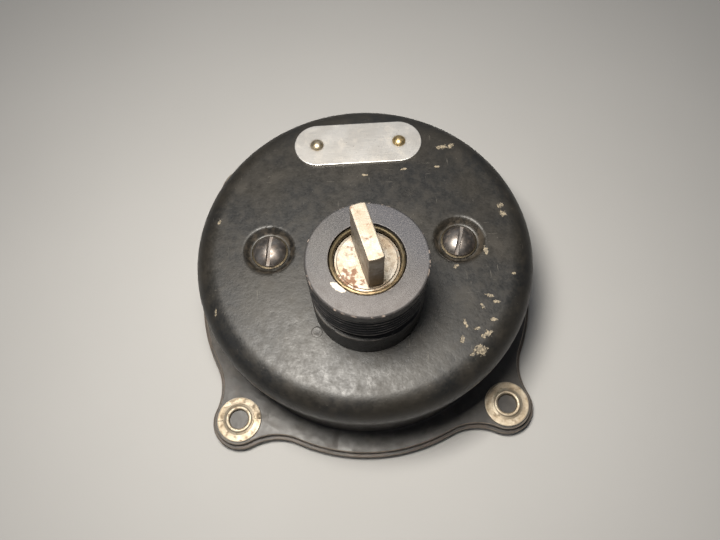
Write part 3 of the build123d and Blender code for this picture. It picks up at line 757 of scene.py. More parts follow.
class Blank:
    """A piece in the making: a mesh that is worked with operators."""

    def __init__(self) -> None:
        """Starts an empty mesh."""
        self.mesh = bmesh.new()
        self.find_wear()

    def find_wear(self) -> None:
        """Finds or adds the layer that marks worn vertices."""
        layers = self.mesh.verts.layers.float
        self.wear = layers.get("wear") or layers.new("wear")

    def lathe(self, outline: Sequence[Point], axis: Vector, steps: int = 128) -> "Blank":
        """Turns an outline about an upright axis; one that starts off the axis closes into a ring.

        Args:
            outline: Radius and height of each point.
            axis: A point on the axis.
            steps: How many steps make the full turn.

        Returns:
            This blank.
        """
        verts = [self.mesh.verts.new((axis.x + radius, axis.y, height)) for radius, height in outline]
        ends = list(zip(verts, verts[1:]))
        if outline[0][0] > TINY:
            ends.append((verts[-1], verts[0]))
        edges = [self.mesh.edges.new(pair) for pair in ends]
        bmesh.ops.spin(
            self.mesh, geom=verts + edges, cent=axis, axis=UP, angle=FULL_TURN, steps=steps, use_merge=True
        )
        bmesh.ops.remove_doubles(self.mesh, verts=self.mesh.verts, dist=TINY)
        return self

    def rod(self, centre: Vector, radius: float, low: float, high: float, steps: int = 48) -> "Blank":
        """Adds an upright rod.

        Args:
            centre: A point on its axis.
            radius: Its radius.
            low: Its lower level.
            high: Its upper level.
            steps: How many sides it has.

        Returns:
            This blank.
        """
        outline = [(0, low), (radius, low), (radius, high), (0, high)]
        return self.add(Blank().lathe(outline, centre, steps))

    def block(self, middle: Sequence[float], size: Sequence[float]) -> "Blank":
        """Adds a box.

        Args:
            middle: Its middle.
            size: Its three lengths.

        Returns:
            This blank.
        """
        place = Matrix.Translation(middle) @ Matrix.Diagonal((*size, 1))
        bmesh.ops.create_cube(self.mesh, size=1.0, matrix=place)
        return self

    def prism(self, low: float, high: float) -> "Blank":
        """Lifts flat faces into a solid.

        Args:
            low: The level of the faces.
            high: The upper level.

        Returns:
            This blank.
        """
        raised = bmesh.ops.extrude_face_region(self.mesh, geom=self.mesh.faces[:])
        verts = [part for part in raised["geom"] if isinstance(part, bmesh.types.BMVert)]
        bmesh.ops.translate(self.mesh, verts=verts, vec=(0, 0, high - low))
        self.close()
        return self

    def close(self) -> None:
        """Fills any hole and turns the faces outwards."""
        rims = [edge for edge in self.mesh.edges if edge.is_boundary]
        if rims:
            bmesh.ops.holes_fill(self.mesh, edges=rims, sides=0)
        bmesh.ops.recalc_face_normals(self.mesh, faces=self.mesh.faces)

    def disc(self, centre: Vector, radius: float, steps: int) -> "Blank":
        """Adds a flat round face.

        Args:
            centre: Its centre.
            radius: Its radius.
            steps: How many sides it has.

        Returns:
            This blank.
        """
        place = Matrix.Translation(centre) @ Matrix.Rotation(FULL_TURN / steps / 2, 4, "Z")
        bmesh.ops.create_circle(self.mesh, cap_ends=True, radius=radius, segments=steps, matrix=place)
        return self

    def slice(self, point: Vector, normal: Vector) -> "Blank":
        """Takes away what lies beyond a plane.

        Args:
            point: A point of the plane.
            normal: Points to the side that goes.

        Returns:
            This blank.
        """
        mesh = self.mesh
        everything = mesh.verts[:] + mesh.edges[:] + mesh.faces[:]
        bmesh.ops.bisect_plane(mesh, geom=everything, plane_co=point, plane_no=normal, clear_outer=True)
        return self

    def soften(
        self, width: float, segments: int = 3,
        where: Callable[[Vector], bool] = lambda middle: True, least_angle: float = 40.0,
    ) -> "Blank":
        """Rounds sharp edges and marks the middle of each rounding as worn.

        Args:
            width: The rounding's width.
            segments: How many strips it has.
            where: Tells from an edge's middle whether it is rounded.
            least_angle: Edges that turn by less, in degrees, stay as they are.

        Returns:
            This blank.
        """
        self.mesh.normal_update()
        sharp = [
            edge for edge in self.mesh.edges
            if edge.is_manifold and edge.calc_face_angle(0.0) > math.radians(least_angle)
            and where((edge.verts[0].co + edge.verts[1].co) / 2)
        ]
        made = bmesh.ops.bevel(
            self.mesh, geom=sharp, offset=width, offset_type="OFFSET", affect="EDGES", segments=segments,
            profile=0.5, material=-1, clamp_overlap=True,
        )
        strips = set(made["faces"])
        for vert in made["verts"]:
            if vert.is_valid and all(face in strips for face in vert.link_faces):
                vert[self.wear] = 1.0
        return self

    def shape(self, move: Callable[[Vector], Vector]) -> "Blank":
        """Moves every vertex.

        Args:
            move: Tells from a vertex's place where it goes.

        Returns:
            This blank.
        """
        for vert in self.mesh.verts:
            vert.co = move(vert.co)
        return self

    def turn(self, angle: float, centre: Vector) -> "Blank":
        """Turns the blank about an upright axis.

        Args:
            angle: The angle in radians, anticlockwise seen from above.
            centre: A point on the axis.

        Returns:
            This blank.
        """
        rotation = Matrix.Rotation(angle, 3, "Z")
        bmesh.ops.rotate(self.mesh, verts=self.mesh.verts, cent=centre, matrix=rotation)
        return self

    def add(self, other: "Blank") -> "Blank":
        """Joins another blank to this one.

        Args:
            other: The other blank, whose mesh is taken over.

        Returns:
            This blank.
        """
        spare = bpy.data.meshes.new("spare")
        other.mesh.to_mesh(spare)
        self.mesh.from_mesh(spare)
        bpy.data.meshes.remove(spare)
        other.mesh.free()
        self.find_wear()
        return self

    def made(self, name: str) -> bpy.types.Object:
        """Makes an object of the blank, which is used up.

        Args:
            name: The object's name.

        Returns:
            The object.
        """
        data = bpy.data.meshes.new(name)
        self.mesh.to_mesh(data)
        self.mesh.free()
        thing = bpy.data.objects.new(name, data)
        bpy.context.scene.collection.objects.link(thing)
        return thing

    def cut(self, tool: "Blank") -> "Blank":
        """Takes a tool's solid away from this one.

        Args:
            tool: The solid that cuts.

        Returns:
            This blank.
        """
        stock, cutter = self.made("stock"), tool.made("cutter")
        modifier = stock.modifiers.new("cut", "BOOLEAN")
        modifier.operation = "DIFFERENCE"
        modifier.solver = "EXACT"
        modifier.object = cutter
        graph = bpy.context.evaluated_depsgraph_get()
        result = bpy.data.meshes.new_from_object(stock.evaluated_get(graph))
        self.mesh = bmesh.new()
        self.mesh.from_mesh(result)
        self.find_wear()
        spares = [result, stock.data, cutter.data]
        for thing in (stock, cutter):
            bpy.data.objects.remove(thing)
        for spare in spares:
            bpy.data.meshes.remove(spare)
        bmesh.ops.remove_doubles(self.mesh, verts=self.mesh.verts, dist=TINY)
        return self

    def piece(self, name: str, node: str, slot: str, finish: Finish, body: Body = Body.CASE) -> None:
        """Ends the work and hands the piece over.

        Args:
            name: The piece's name.
            node: The CAD node that it stands for.
            slot: The record's material slot; not used.
            finish: Its finish.
            body: The body that it rides on.
        """
        bmesh.ops.recalc_face_normals(self.mesh, faces=self.mesh.faces)
        for face in self.mesh.faces:
            face.smooth = True
        for edge in self.mesh.edges:
            edge.smooth = edge.calc_face_angle(0.0) < CREASE
        made = self.made(name)
        made.data.materials.append(finish.material())
        normals = made.modifiers.new("even_normals", "WEIGHTED_NORMAL")
        normals.keep_sharp = True
        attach(made, body.value)
        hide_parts(node)
        log.info("%s: %d faces", name, len(made.data.polygons))


# ------------------------------------------------------------------------------ sub-assemblies


@dataclass
class Studio:
    """Camera, soft lights and a pale floor."""

    lens: float = 31.5
    distance: float = 131.3 * MM
    elevation: float = math.radians(67.1)
    azimuth: float = math.radians(-0.83)
    roll: float = math.radians(-2.49)
    aim_offset: Vector = Vector((-1.24, -5.77, 0)) * MM
    sky: Colour = (0.9, 0.93, 1.0)
    sky_strength: float = 0.09
    aim_height: float = 20 * MM
    floor_size: float = 4.0
    painted_light_from: float = 130 * MM
    painted_light_to: float = 900 * MM

    def build(self) -> None:
        """Makes the camera first, then the lights and the floor."""
        self.camera()
        self.light("key", Vector((-20, -14, 170)) * MM, 46 * MM, 0.47, (1.0, 0.95, 0.87))
        self.light("back_fill", Vector((0.1, 0.9, 0.7)), 1.2, 1.6, (0.96, 0.98, 1.0))
        self.light("left_fill", Vector((-0.9, -0.3, 0.5)), 0.6, 0.6, (0.93, 0.96, 1.0))
        world = bpy.data.worlds.new("studio")
        world.use_nodes = True
        background = world.node_tree.nodes["Background"]
        background.inputs["Color"].default_value = (*self.sky, 1.0)
        background.inputs["Strength"].default_value = self.sky_strength
        bpy.context.scene.world = world
        bpy.context.scene.view_settings.view_transform = "Standard"
        self.floor()

    def camera(self) -> None:
        """Makes the scene's camera."""
        aim = Vector((0, 0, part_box("cover")[1].z)) + self.aim_offset
        flat = math.cos(self.elevation)
        across, forth = math.sin(self.azimuth), -math.cos(self.azimuth)
        back = Vector((across * flat, forth * flat, math.sin(self.elevation)))
        right = (-back).cross(UP).normalized()
        level = Matrix((right, right.cross(-back), back)).transposed().to_4x4()
        data = bpy.data.cameras.new("camera")
        data.lens = self.lens
        data.clip_start = 1 * MM
        made = bpy.data.objects.new("camera", data)
        place = Matrix.Translation(aim + back * self.distance)
        made.matrix_world = place @ level @ Matrix.Rotation(self.roll, 4, "Z")
        bpy.context.scene.collection.objects.link(made)
        bpy.context.scene.camera = made

    def light(self, name: str, place: Vector, size: float, power: float, colour: Colour) -> None:
        """Makes a square soft light that shines at the object.

        Args:
            name: Its name.
            place: Where it hangs.
            size: The length of its side.
            power: Its power in watts.
            colour: Its colour.
        """
        data = bpy.data.lights.new(name, "AREA")
        data.size = size
        data.energy = power
        data.color = colour
        made = bpy.data.objects.new(name, data)
        made.location = place
        made.rotation_euler = (UP * self.aim_height - place).to_track_quat("-Z", "Y").to_euler()
        bpy.context.scene.collection.objects.link(made)

    def floor(self) -> None:
        """Makes the pale floor, with painted light: its tone grows paler away from the object so that the
        far floor looks lit.
        """
        blank = Blank()
        bmesh.ops.create_grid(blank.mesh, x_segments=1, y_segments=1, size=self.floor_size / 2)
        recipe = Recipe("pale_floor")
        tone = recipe.mix(recipe.cloud(40 * MM), (0.4, 0.396, 0.39), (0.43, 0.426, 0.42))
        # painted light: the floor's tone pales with distance from the object
        far = recipe.radius(Vector()).rise(self.painted_light_from, self.painted_light_to)
        tone = recipe.mix(far, tone, (0.84, 0.835, 0.82))
        rough = recipe.cloud(8 * MM) * 0.1 + 0.7
        coat = Coat(tone, rough, 0.0, recipe.cloud(0.8 * MM) * (0.01 * MM))
        made = blank.made("floor")
        made.data.materials.append(recipe.complete(coat, 0.2))


@dataclass
class Can:
    """Cover, housing and back plate."""

    shoulder: float = 5.2 * MM
    skin: float = 1.4 * MM
    dimple_radius: float = 5.6 * MM
    dimple_floor: float = 4.2 * MM
    dimple_depth: float = 1.5 * MM
    lobe_radius: float = 6.4 * MM
    lobe_hollow: float = 12.0 * MM
    wall_inside: float = 33.2 * MM
    wall_fillet: float = 0.5 * MM
    wall_fit: float = 0.1 * MM
    wall_chamfer: float = 0.3 * MM
    tube_wall: float = 0.6 * MM
    bush_hole: float = 4.45 * MM
    terminal_hole: float = 1.55 * MM
    sink_gap: float = 0.08 * MM
    sink_taper: float = 1.2 * MM
    sink_depth: float = 1.25 * MM
    overcut: float = 1 * MM
    lip_band: float = 0.9 * MM
    lip_round: float = 0.28 * MM
    flange_round: float = 0.3 * MM
    plate_round: float = 0.25 * MM
    seat_margin: float = 0.5 * MM
    rough_ring: float = 1.6 * MM
    fine_ring: float = 0.35 * MM
    outer_ring: float = 0.8 * MM
    bump: float = 0.05 * MM
    bump_size: float = 9 * MM

    def __post_init__(self) -> None:
        """Takes the outer sizes from the frame."""
        low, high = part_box("cover")
        self.radius = high.x
        self.top = high.z
        self.lip = low.z
        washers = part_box("cover_screw_washers")
        self.pillar = washers[1].x - (washers[1].y - washers[0].y) / 2
        self.plate_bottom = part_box("back_plate")[0].z
        self.arc_radius, _, self.plate_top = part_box("back_plate")[1]
        self.ledge = self.arc_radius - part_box("housing")[1].x
        self.wall_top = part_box("housing")[1].z
        self.flange_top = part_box("mounting_washers")[0].z
        self.mount = EYELETS["spacing_x_mm"] * MM / 2
        self.eyelet_tube = EYELETS["hole_r_mm"] * MM + self.tube_wall

    def pressed(self, place: Vector) -> Vector:
        """Presses the two screw dimples and adds a faint unevenness.

        Args:
            place: A vertex of the plain cover.

        Returns:
            Where it goes.
        """
        moved = place.copy()
        for side in (-1, 1):
            reach = math.hypot(place.x - side * self.pillar, place.y)
            moved.z -= self.dimple_depth * (1 - ease(reach, self.dimple_floor, self.dimple_radius))
        flat = 1 - ease(math.hypot(place.x, place.y), self.radius - self.shoulder, self.radius)
        moved.z += (noise.noise(place / self.bump_size) - 0.5) * self.bump * flat
        return moved

    def cover(self) -> None:
        """Makes the cover: a turned shell with pressed dimples."""
        near = self.pillar - self.dimple_radius - self.seat_margin
        far = self.pillar + self.dimple_radius + 0.3 * MM
        start = self.radius - self.shoulder
        inside = self.radius - self.skin
        corner = (start, self.top - self.shoulder)
        rings = [*spread(0.0, near, self.rough_ring), *spread(near, far, self.fine_ring)]
        rings += spread(far, start, self.outer_ring)
        outline = [(ring, self.top) for ring in rings]
        outline += arc(corner, self.shoulder, 90, 0, 22)
        outline += [(self.radius, self.lip + self.lip_band), (self.radius, self.lip)]
        outline += [(inside, self.lip), (inside, self.top - self.shoulder)]
        outline += arc(corner, self.shoulder - self.skin, 0, 90, 8)
        outline += [(ring, self.top - self.skin) for ring in reversed(spread(0.0, start, self.outer_ring))]
        blank = Blank().lathe(outline, Vector(), 320)
        blank.soften(self.lip_round, 3, lambda middle: middle.z < self.lip + 0.1 * MM)
        blank.shape(self.pressed).piece("enamelled_cover", "cover", "black_enamel", self.enamel())

    def enamel(self) -> ChippedEnamel:
        """Gives the cover's enamel, with its chips.

        Returns:
            The finish.
        """
        chips = (
            Chip(18.9, 23.3, 1.3, 0.6, 5), Chip(20.9, 23.5, 0.9, 0.7, 40), Chip(25.5, -3.0, 0.45, 1.15, 4),
            Chip(30.0, 7.6, 0.8, 0.6, 30, drop=0.1), Chip(30.2, 5.6, 0.9, 0.7, -20, drop=0.1),
            Chip(25.0, -13.0, 1.0, 0.42, -22), Chip(26.2, -14.4, 0.8, 0.42, -8),
            Chip(23.2, -15.2, 0.42, 0.85, 22), Chip(19.3, -18.7, 0.38, 1.3, 16),
            Chip(21.5, -19.8, 0.85, 0.36, -4), Chip(23.6, -21.0, 0.95, 0.75, 20),
            Chip(22.5, -21.6, 0.5, 0.45), Chip(21.6, -24.3, 1.5, 1.25, 15), Chip(25.1, -18.2, 0.8, 0.42),
            Chip(19.9, -25.2, 0.65, 0.38, 10), Chip(18.2, -22.0, 0.5, 1.0, -12), Chip(30.6, -8.4, 0.55, 0.3),
            Chip(18.8, -6.2, 0.7, 0.42, 35), Chip(17.2, 18.2, 0.65, 0.35), Chip(-30.9, 7.3, 0.7, 0.45, 60),
            Chip(-31.2, -13.2, 0.35, 0.8), Chip(1.1, 17.1, 0.9, 0.3, -8), Chip(9.9, 18.1, 0.9, 0.3, 12),
        )
        return ChippedEnamel(
            "stoved_black_enamel", base=(0.0045, 0.0052, 0.006), drift=(0.013, 0.0115, 0.009),
            grime=(0.038, 0.032, 0.024), worn=(0.2, 0.17, 0.14), roughness=0.45, metallic=0.0,
            worn_metallic=0.3, drift_size=11 * MM, grain_size=0.45 * MM, relief=0.022 * MM, chips=chips,
            top=self.top,
            seats=tuple(Vector((side * self.pillar, 0, 0)) for side in (-1, 1)),
            seat_radius=self.dimple_floor + self.seat_margin,
        )

    def outline(self, inset: float, level: float) -> Blank:
        """Draws the lobed outline's face: arcs about the can, hollows and corner lobes.

        Args:
            inset: How far the outline is moved in.
            level: Its height.

        Returns:
            A blank with the face.
        """
        blank = Blank()
        lobe = self.lobe_radius - inset
        hollow = self.lobe_hollow + inset
        corner = self.mount * math.sqrt(2)
        reach = self.arc_radius - inset + hollow
        side = lobe + hollow
        diagonal = math.pi / 4
        swing = math.acos((corner**2 + reach**2 - side**2) / (2 * corner * reach))
        hollow_turn = math.acos((side**2 + reach**2 - corner**2) / (2 * side * reach))
        middle = UP * level
        before, after = (
            Vector((reach * math.cos(diagonal + turn), reach * math.sin(diagonal + turn), level))
            for turn in (-swing, swing)
        )
        path = (
            (middle, UP, diagonal - swing, 20),
            (before, -UP, hollow_turn, 14),
            (Vector((self.mount, self.mount, level)), UP, 2 * (swing + hollow_turn), 34),
            (after, -UP, hollow_turn, 14),
            (middle, UP, diagonal - swing, 20),
        )
        last = blank.mesh.verts.new((self.arc_radius - inset, 0, level))
        for centre, axis, angle, steps in path:
            made = bmesh.ops.spin(blank.mesh, geom=[last], cent=centre, axis=axis, angle=angle, steps=steps)
            last = next(part for part in made["geom_last"] if isinstance(part, bmesh.types.BMVert))
        quarter = blank.mesh.verts[:] + blank.mesh.edges[:]
        bmesh.ops.spin(
            blank.mesh, geom=quarter, cent=middle, axis=UP, angle=FULL_TURN, steps=4, use_duplicate=True
        )
        bmesh.ops.remove_doubles(blank.mesh, verts=blank.mesh.verts, dist=WELD)
        bmesh.ops.contextual_create(blank.mesh, geom=blank.mesh.edges[:])
        return blank

    def drills(self, low: float, high: float) -> Blank:
        """Makes the four cutters for the eyelets' tubes.

        Args:
            low: The cutters' lower level.
            high: Their upper level.

        Returns:
            The cutters.
        """
        tool = Blank()
        for x_side, y_side in ((-1, -1), (-1, 1), (1, -1), (1, 1)):
            tool.rod(Vector((x_side * self.mount, y_side * self.mount, 0)), self.eyelet_tube, low, high)
        return tool

    def housing(self) -> None:
        """Makes the flange with its ring wall."""
        blank = self.outline(self.ledge, self.plate_top).prism(self.plate_top, self.flange_top)
        blank.soften(self.flange_round, 3, lambda middle: middle.z > self.plate_top + 0.5 * MM)
        low, high = self.plate_top - self.overcut, self.flange_top + self.overcut
        blank.cut(self.drills(low, high).rod(Vector(), self.wall_inside, low, high, 192))
        wall = self.radius - self.skin - self.wall_fit
        foot = (wall + self.wall_fillet, self.flange_top + self.wall_fillet)
        root = self.flange_top - 0.4 * MM
        ring = [(self.wall_inside, root), (foot[0], root), *arc(foot, self.wall_fillet, 270, 180, 5)]
        ring += [(wall, self.wall_top - self.wall_chamfer), (wall - self.wall_chamfer, self.wall_top)]
        ring += [(self.wall_inside, self.wall_top)]
        blank.add(Blank().lathe(ring, Vector(), 192))
        finish = ChippedEnamel(
            "flange_black_enamel", base=(0.03, 0.0285, 0.028), drift=(0.055, 0.05, 0.046),
            grime=(0.1, 0.088, 0.075), worn=(0.27, 0.225, 0.185), roughness=0.42, metallic=0.0,
            worn_metallic=0.3, drift_size=8 * MM, grime_share=0.5,
        )
        blank.piece("flanged_housing", "housing", "black_enamel", finish)

    def back_plate(self) -> None:
        """Makes the insulating plate, drilled for eyelets, screws, bush and terminals."""
        blank = self.outline(0.0, self.plate_bottom).prism(self.plate_bottom, self.plate_top)
        blank.soften(self.plate_round, 2)
        low, high = self.plate_bottom - self.overcut, self.plate_top + self.overcut
        tool = self.drills(low, high)
        for screw in [*islands("pillar_screws"), *islands("stator_screws")]:
            mouth, hole = screw.radius + self.sink_gap, screw.radius - self.sink_taper
            sink = [(0, low), (mouth, low), (mouth, self.plate_bottom)]
            sink += [(hole, self.plate_bottom + self.sink_depth), (hole, high), (0, high)]
            tool.add(Blank().lathe(sink, screw.centre, 48))
        holes = [("lower_bush", self.bush_hole)]
        holes += [(node, self.terminal_hole) for node in ("stator_terminal", "rotor_terminal")]
        for node, radius in holes:
            tool.rod(Round.filling(*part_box(node)).centre, radius, low, high)
        finish = LayeredSheet(
            "black_laminate", base=(0.022, 0.019, 0.017), drift=(0.034, 0.028, 0.024),
            grime=(0.09, 0.075, 0.06), worn=(0.2, 0.155, 0.115), roughness=0.5, metallic=0.0,
            worn_metallic=0.0, grime_share=0.5,
        )
        blank.cut(tool).piece("insulating_plate", "back_plate", "black_laminate", finish)

    def build(self) -> None:
        """Makes the three pieces."""
        self.cover()
        self.housing()
        self.back_plate()


@dataclass
class CornerEyelets:
    """Washers and rolled eyelets in the flange's four lobes."""

    rim: float = 3.2 * MM
    tube_wall: float = 0.55 * MM
    skirt: float = 0.35 * MM
    crack_width: float = 0.14 * MM
    sink: float = 0.14 * MM
    burr: float = 0.34 * MM
    ripple: float = 0.1 * MM
    swell: float = 0.14 * MM
    tilt: float = 0.07

    def __post_init__(self) -> None:
        """Takes places and levels from the frame."""
        self.washers = islands("mounting_washers")
        self.eyelets = islands("mounting_eyelets")
        self.hole = EYELETS["hole_r_mm"] * MM

    def washer(self, seat: Round, index: int) -> Blank:
        """Makes one thin washer, dished a little by the eyelet and uneven at its edge.

        Args:
            seat: Where it lies.
            index: Tells the washers' unevenness apart; the first one also tilts.

        Returns:
            The washer.
        """
        inner = self.hole + self.tube_wall + 0.05 * MM
        lowest = seat.low + 0.02 * MM
        under = [inner, *spread(inner + 0.4 * MM, seat.radius, 0.5 * MM), seat.radius]
        upper = [*spread(inner, seat.radius, 0.4 * MM), seat.radius]
        outline = [(radius, lowest) for radius in under]
        outline += [(radius, seat.high) for radius in reversed(upper)]
        blank = Blank().lathe(outline, seat.centre, 96)
        blank.soften(0.16 * MM, 3, lambda middle: (middle - seat.centre).xy.length > seat.radius - 0.3 * MM)
        shift = Vector((index * 31.0, index * 17.0, 0.0))

        def uneven(place: Vector) -> Vector:
            """Dishes the washer and dents its upper side.

            Args:
                place: A vertex of the plain washer.

            Returns:
                Where it goes.
            """
            offset = (place - seat.centre).xy
            share = (offset.length - inner) / (seat.radius - inner)
            dent = noise.noise(Vector((*offset, 0)) / (2.4 * MM) + shift) * self.ripple
            upper = ease(place.z, seat.low + 0.2 * MM, seat.high)
            swell = self.swell * ease(1 - share, 0.3, 1.0)
            tilt = self.tilt * max(0.0, offset.y) if index == 0 else 0.0
            place.z += upper * (min(0.0, dent - 0.02 * MM) + swell - tilt)
            return place

        return blank.shape(uneven)

    def split(self, blank: Blank, seat: Round) -> Blank:
        """Cracks one washer across its middle, sinks its back half and lifts a burr at the right.

        Args:
            blank: The whole washer.
            seat: Where it lies.

        Returns:
            The cracked washer.
        """
        crack = seat.centre.y - 0.15 * MM
        size = (4 * seat.radius, self.crack_width, 2 * MM)
        blank.cut(Blank().block((seat.centre.x, crack, seat.high), size))
        burr = seat.centre + Vector((seat.radius - 0.3 * MM, 0.5 * MM, seat.high))

        def bend(place: Vector) -> Vector:
            """Sinks the metal behind the crack and raises it next to the burr.

            Args:
                place: A vertex of the washer.

            Returns:
                Where it goes.
            """
            if place.z > seat.low + 0.3 * MM:
                lifted = self.burr * (1 - ease((place - burr).xy.length, 0.2 * MM, 0.7 * MM))
                place.z += lifted - (self.sink if place.y > crack else 0.0)
            return place

        return blank.shape(bend)

    def eyelet(self, seat: Round) -> Blank:
        """Makes one eyelet: a rolled front rim, a tube and a rolled foot.

        Args:
            seat: Its axis and levels.

        Returns:
            The eyelet.
        """
        tube = self.hole + self.tube_wall
        ledge = self.washers[0].high
        crown = seat.high - 0.34 * MM
        bead = (self.rim - self.hole) / 2 - 0.06 * MM
        bead_radius = (self.rim + self.hole) / 2 - 0.06 * MM
        foot, foot_bead = 0.5 * MM, 0.25 * MM
        outer = self.rim + self.skirt
        squash = (seat.high - crown) / bead
        outline = [
            (tube, seat.low + foot), (tube, ledge - 0.1 * MM), (outer, ledge - 0.1 * MM),
            (outer, ledge + 0.1 * MM), (self.rim, ledge + 0.22 * MM),
            (self.rim - 0.18 * MM, ledge + 0.3 * MM),
            *arc((bead_radius, crown), bead, 20, 180, 12),
            (self.hole, crown - 0.4 * MM), (self.hole, seat.low + 0.6 * MM),
            *arc((self.hole + foot, seat.low + foot), foot, 180, 270, 6),
            (seat.radius - foot_bead, seat.low),
            *arc((seat.radius - foot_bead, seat.low + foot_bead), foot_bead, -60, 90, 6),
        ]
        flattened = [(r, crown + (z - crown) * squash if z > crown else z) for r, z in outline]
        return Blank().lathe(flattened, seat.centre, 72)

    def build(self) -> None:
        """Makes the washers and the eyelets."""
        plates, rolled = Blank(), Blank()
        front_left = min(self.washers, key=lambda seat: seat.centre.x + seat.centre.y)
        for index, seat in enumerate(self.washers):
            blank = self.washer(seat, index)
            plates.add(self.split(blank, seat) if seat is front_left else blank)
        for seat in self.eyelets:
            rolled.add(self.eyelet(seat))
        plate_finish = Finish(
            "tarnished_nickel_washers", base=(0.56, 0.495, 0.395), drift=(0.46, 0.385, 0.285),
            grime=(0.2, 0.14, 0.085), worn=(0.72, 0.66, 0.55), roughness=0.6, drift_size=2.6 * MM,
            grain_size=0.4 * MM, relief=0.012 * MM, grime_share=0.6,
        )
        eyelet_finish = DarkBore(
            "tarnished_nickel_eyelets", base=(0.55, 0.49, 0.39), drift=(0.45, 0.38, 0.285),
            grime=(0.15, 0.105, 0.062), worn=(0.7, 0.64, 0.53), roughness=0.58, drift_size=2.2 * MM,
            grime_share=0.55, bores=tuple(seat.centre for seat in self.eyelets), bore_radius=self.hole,
            bore_top=self.eyelets[0].high,
        )
        plates.piece("eyelet_washers", "mounting_washers", "nickelled_brass", plate_finish)
        rolled.piece("corner_eyelets", "mounting_eyelets", "nickelled_brass", eyelet_finish)


@dataclass
class CoverScrews:
    """Round-head slotted screws and their thin washers, in the cover's dimples."""

    head_side: float = 0.35 * MM
    head_chamfer: float = 0.12 * MM
    slot_width: float = 0.9 * MM
    slot_depth: float = 1.6 * MM
    slot_turns: tuple[float, float] = (-7.0, -16.6)
    shank: float = 1.75 * MM
    clearance: float = 0.05 * MM

    def build(self) -> None:
        """Makes the washers and the screws."""
        thin, heads = Blank(), Blank()
        washers = islands("cover_screw_washers")
        hole = self.shank + self.clearance
        for seat in washers:
            low, high = seat.low, seat.high
            outline = [(hole, low), (seat.radius, low), (seat.radius, high), (hole, high)]
            thin.add(Blank().lathe(outline, seat.centre, 96).soften(0.1 * MM, 2))
        for seat, turn in zip(islands("cover_screws"), self.slot_turns):
            heads.add(self.screw(seat, washers[0].high, turn))
        brass = Finish(
            "dull_washer_brass", base=(0.075, 0.062, 0.042), drift=(0.045, 0.036, 0.024),
            grime=(0.03, 0.024, 0.016), worn=(0.15, 0.13, 0.1), roughness=0.5, drift_size=1.5 * MM,
            grime_share=0.7,
        )
        steel = Finish(
            "browned_screw_steel", base=(0.31, 0.29, 0.275), drift=(0.2, 0.18, 0.165),
            grime=(0.12, 0.075, 0.05), worn=(0.42, 0.35, 0.3), roughness=0.42, drift_size=2.0 * MM,
            grain_size=0.2 * MM, grime_share=0.45, wear_share=0.6,
        )
        thin.piece("screw_washers", "cover_screw_washers", "plain_brass", brass)
        heads.piece("round_head_screws", "cover_screws", "dark_steel", steel)

    def screw(self, seat: Round, level: float, turn: float) -> Blank:
        """Makes one screw.

        Args:
            seat: Its axis and levels.
            level: The underside of its head.
            turn: How far its slot is turned, in degrees.

        Returns:
            The screw.
        """
        outline = dome(seat.radius, level + self.head_side, seat.high, 26)
        outline += [(seat.radius, level + self.head_chamfer), (seat.radius - self.head_chamfer, level)]
        outline += [(self.shank, level), (self.shank, seat.low), (0, seat.low)]
        middle = (*seat.centre.xy, seat.high - self.slot_depth + seat.radius)
        tool = Blank().block(middle, (self.slot_width, 4 * seat.radius, 2 * seat.radius))
        tool.soften(0.12 * MM, 2, lambda middle: middle.z < seat.high)
        blank = Blank().lathe(outline, seat.centre, 112).cut(tool.turn(math.radians(turn), seat.centre))
        return blank.soften(0.07 * MM, 2, lambda middle: middle.z > level + 0.3 * MM, 50.0)


@dataclass
class IdentityPlate:
    """Blank aluminium plate with round ends, held by two round-head pins."""

    edge: float = 0.16 * MM
    shank: float = 0.8 * MM
    tuck: float = 0.05 * MM

    def build(self) -> None:
        """Makes the plate and its pins."""
        low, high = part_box("id_plate")
        middle = (low + high) / 2
        radius = (high.y - low.y) / 2
        straight = (high.x - low.x) / 2 - radius

        def stretched(place: Vector) -> Vector:
            """Draws the disc out into a plate with round ends."""
            return place + Vector((math.copysign(straight, place.x), 0, 0))

        blank = Blank().disc(Vector((middle.x, middle.y, low.z)), radius, 96).shape(stretched)
        blank.prism(low.z, high.z).soften(self.edge, 3, lambda spot: spot.z > middle.z)
        pins = islands("id_plate_pins")
        heads = Blank()
        for pin in pins:
            outline = dome(pin.radius, high.z, pin.high, 16)
            outline += [(pin.radius - self.tuck, high.z), (self.shank, high.z)]
            outline += [(self.shank, pin.low), (0, pin.low)]
            heads.add(Blank().lathe(outline, pin.centre, 64))
        satin = SatinPlate(
            "satin_aluminium", base=(0.95, 0.92, 0.875), drift=(0.85, 0.815, 0.765),
            grime=(0.3, 0.27, 0.23), worn=(0.95, 0.94, 0.92), roughness=0.42, grime_share=0.25,
            pins=tuple(pin.centre for pin in pins),
        )
        tone = TwoTonePins(
            "tarnished_pins", base=(0.6, 0.52, 0.39), drift=(0.46, 0.38, 0.25), grime=(0.12, 0.085, 0.05),
            worn=(0.8, 0.72, 0.55), roughness=0.4, drift_size=1.2 * MM, grime_share=0.6,
        )
        blank.piece("identity_plate", "id_plate", "plate_aluminium", satin)
        heads.piece("plate_pins", "id_plate_pins", "pin_brass", tone)


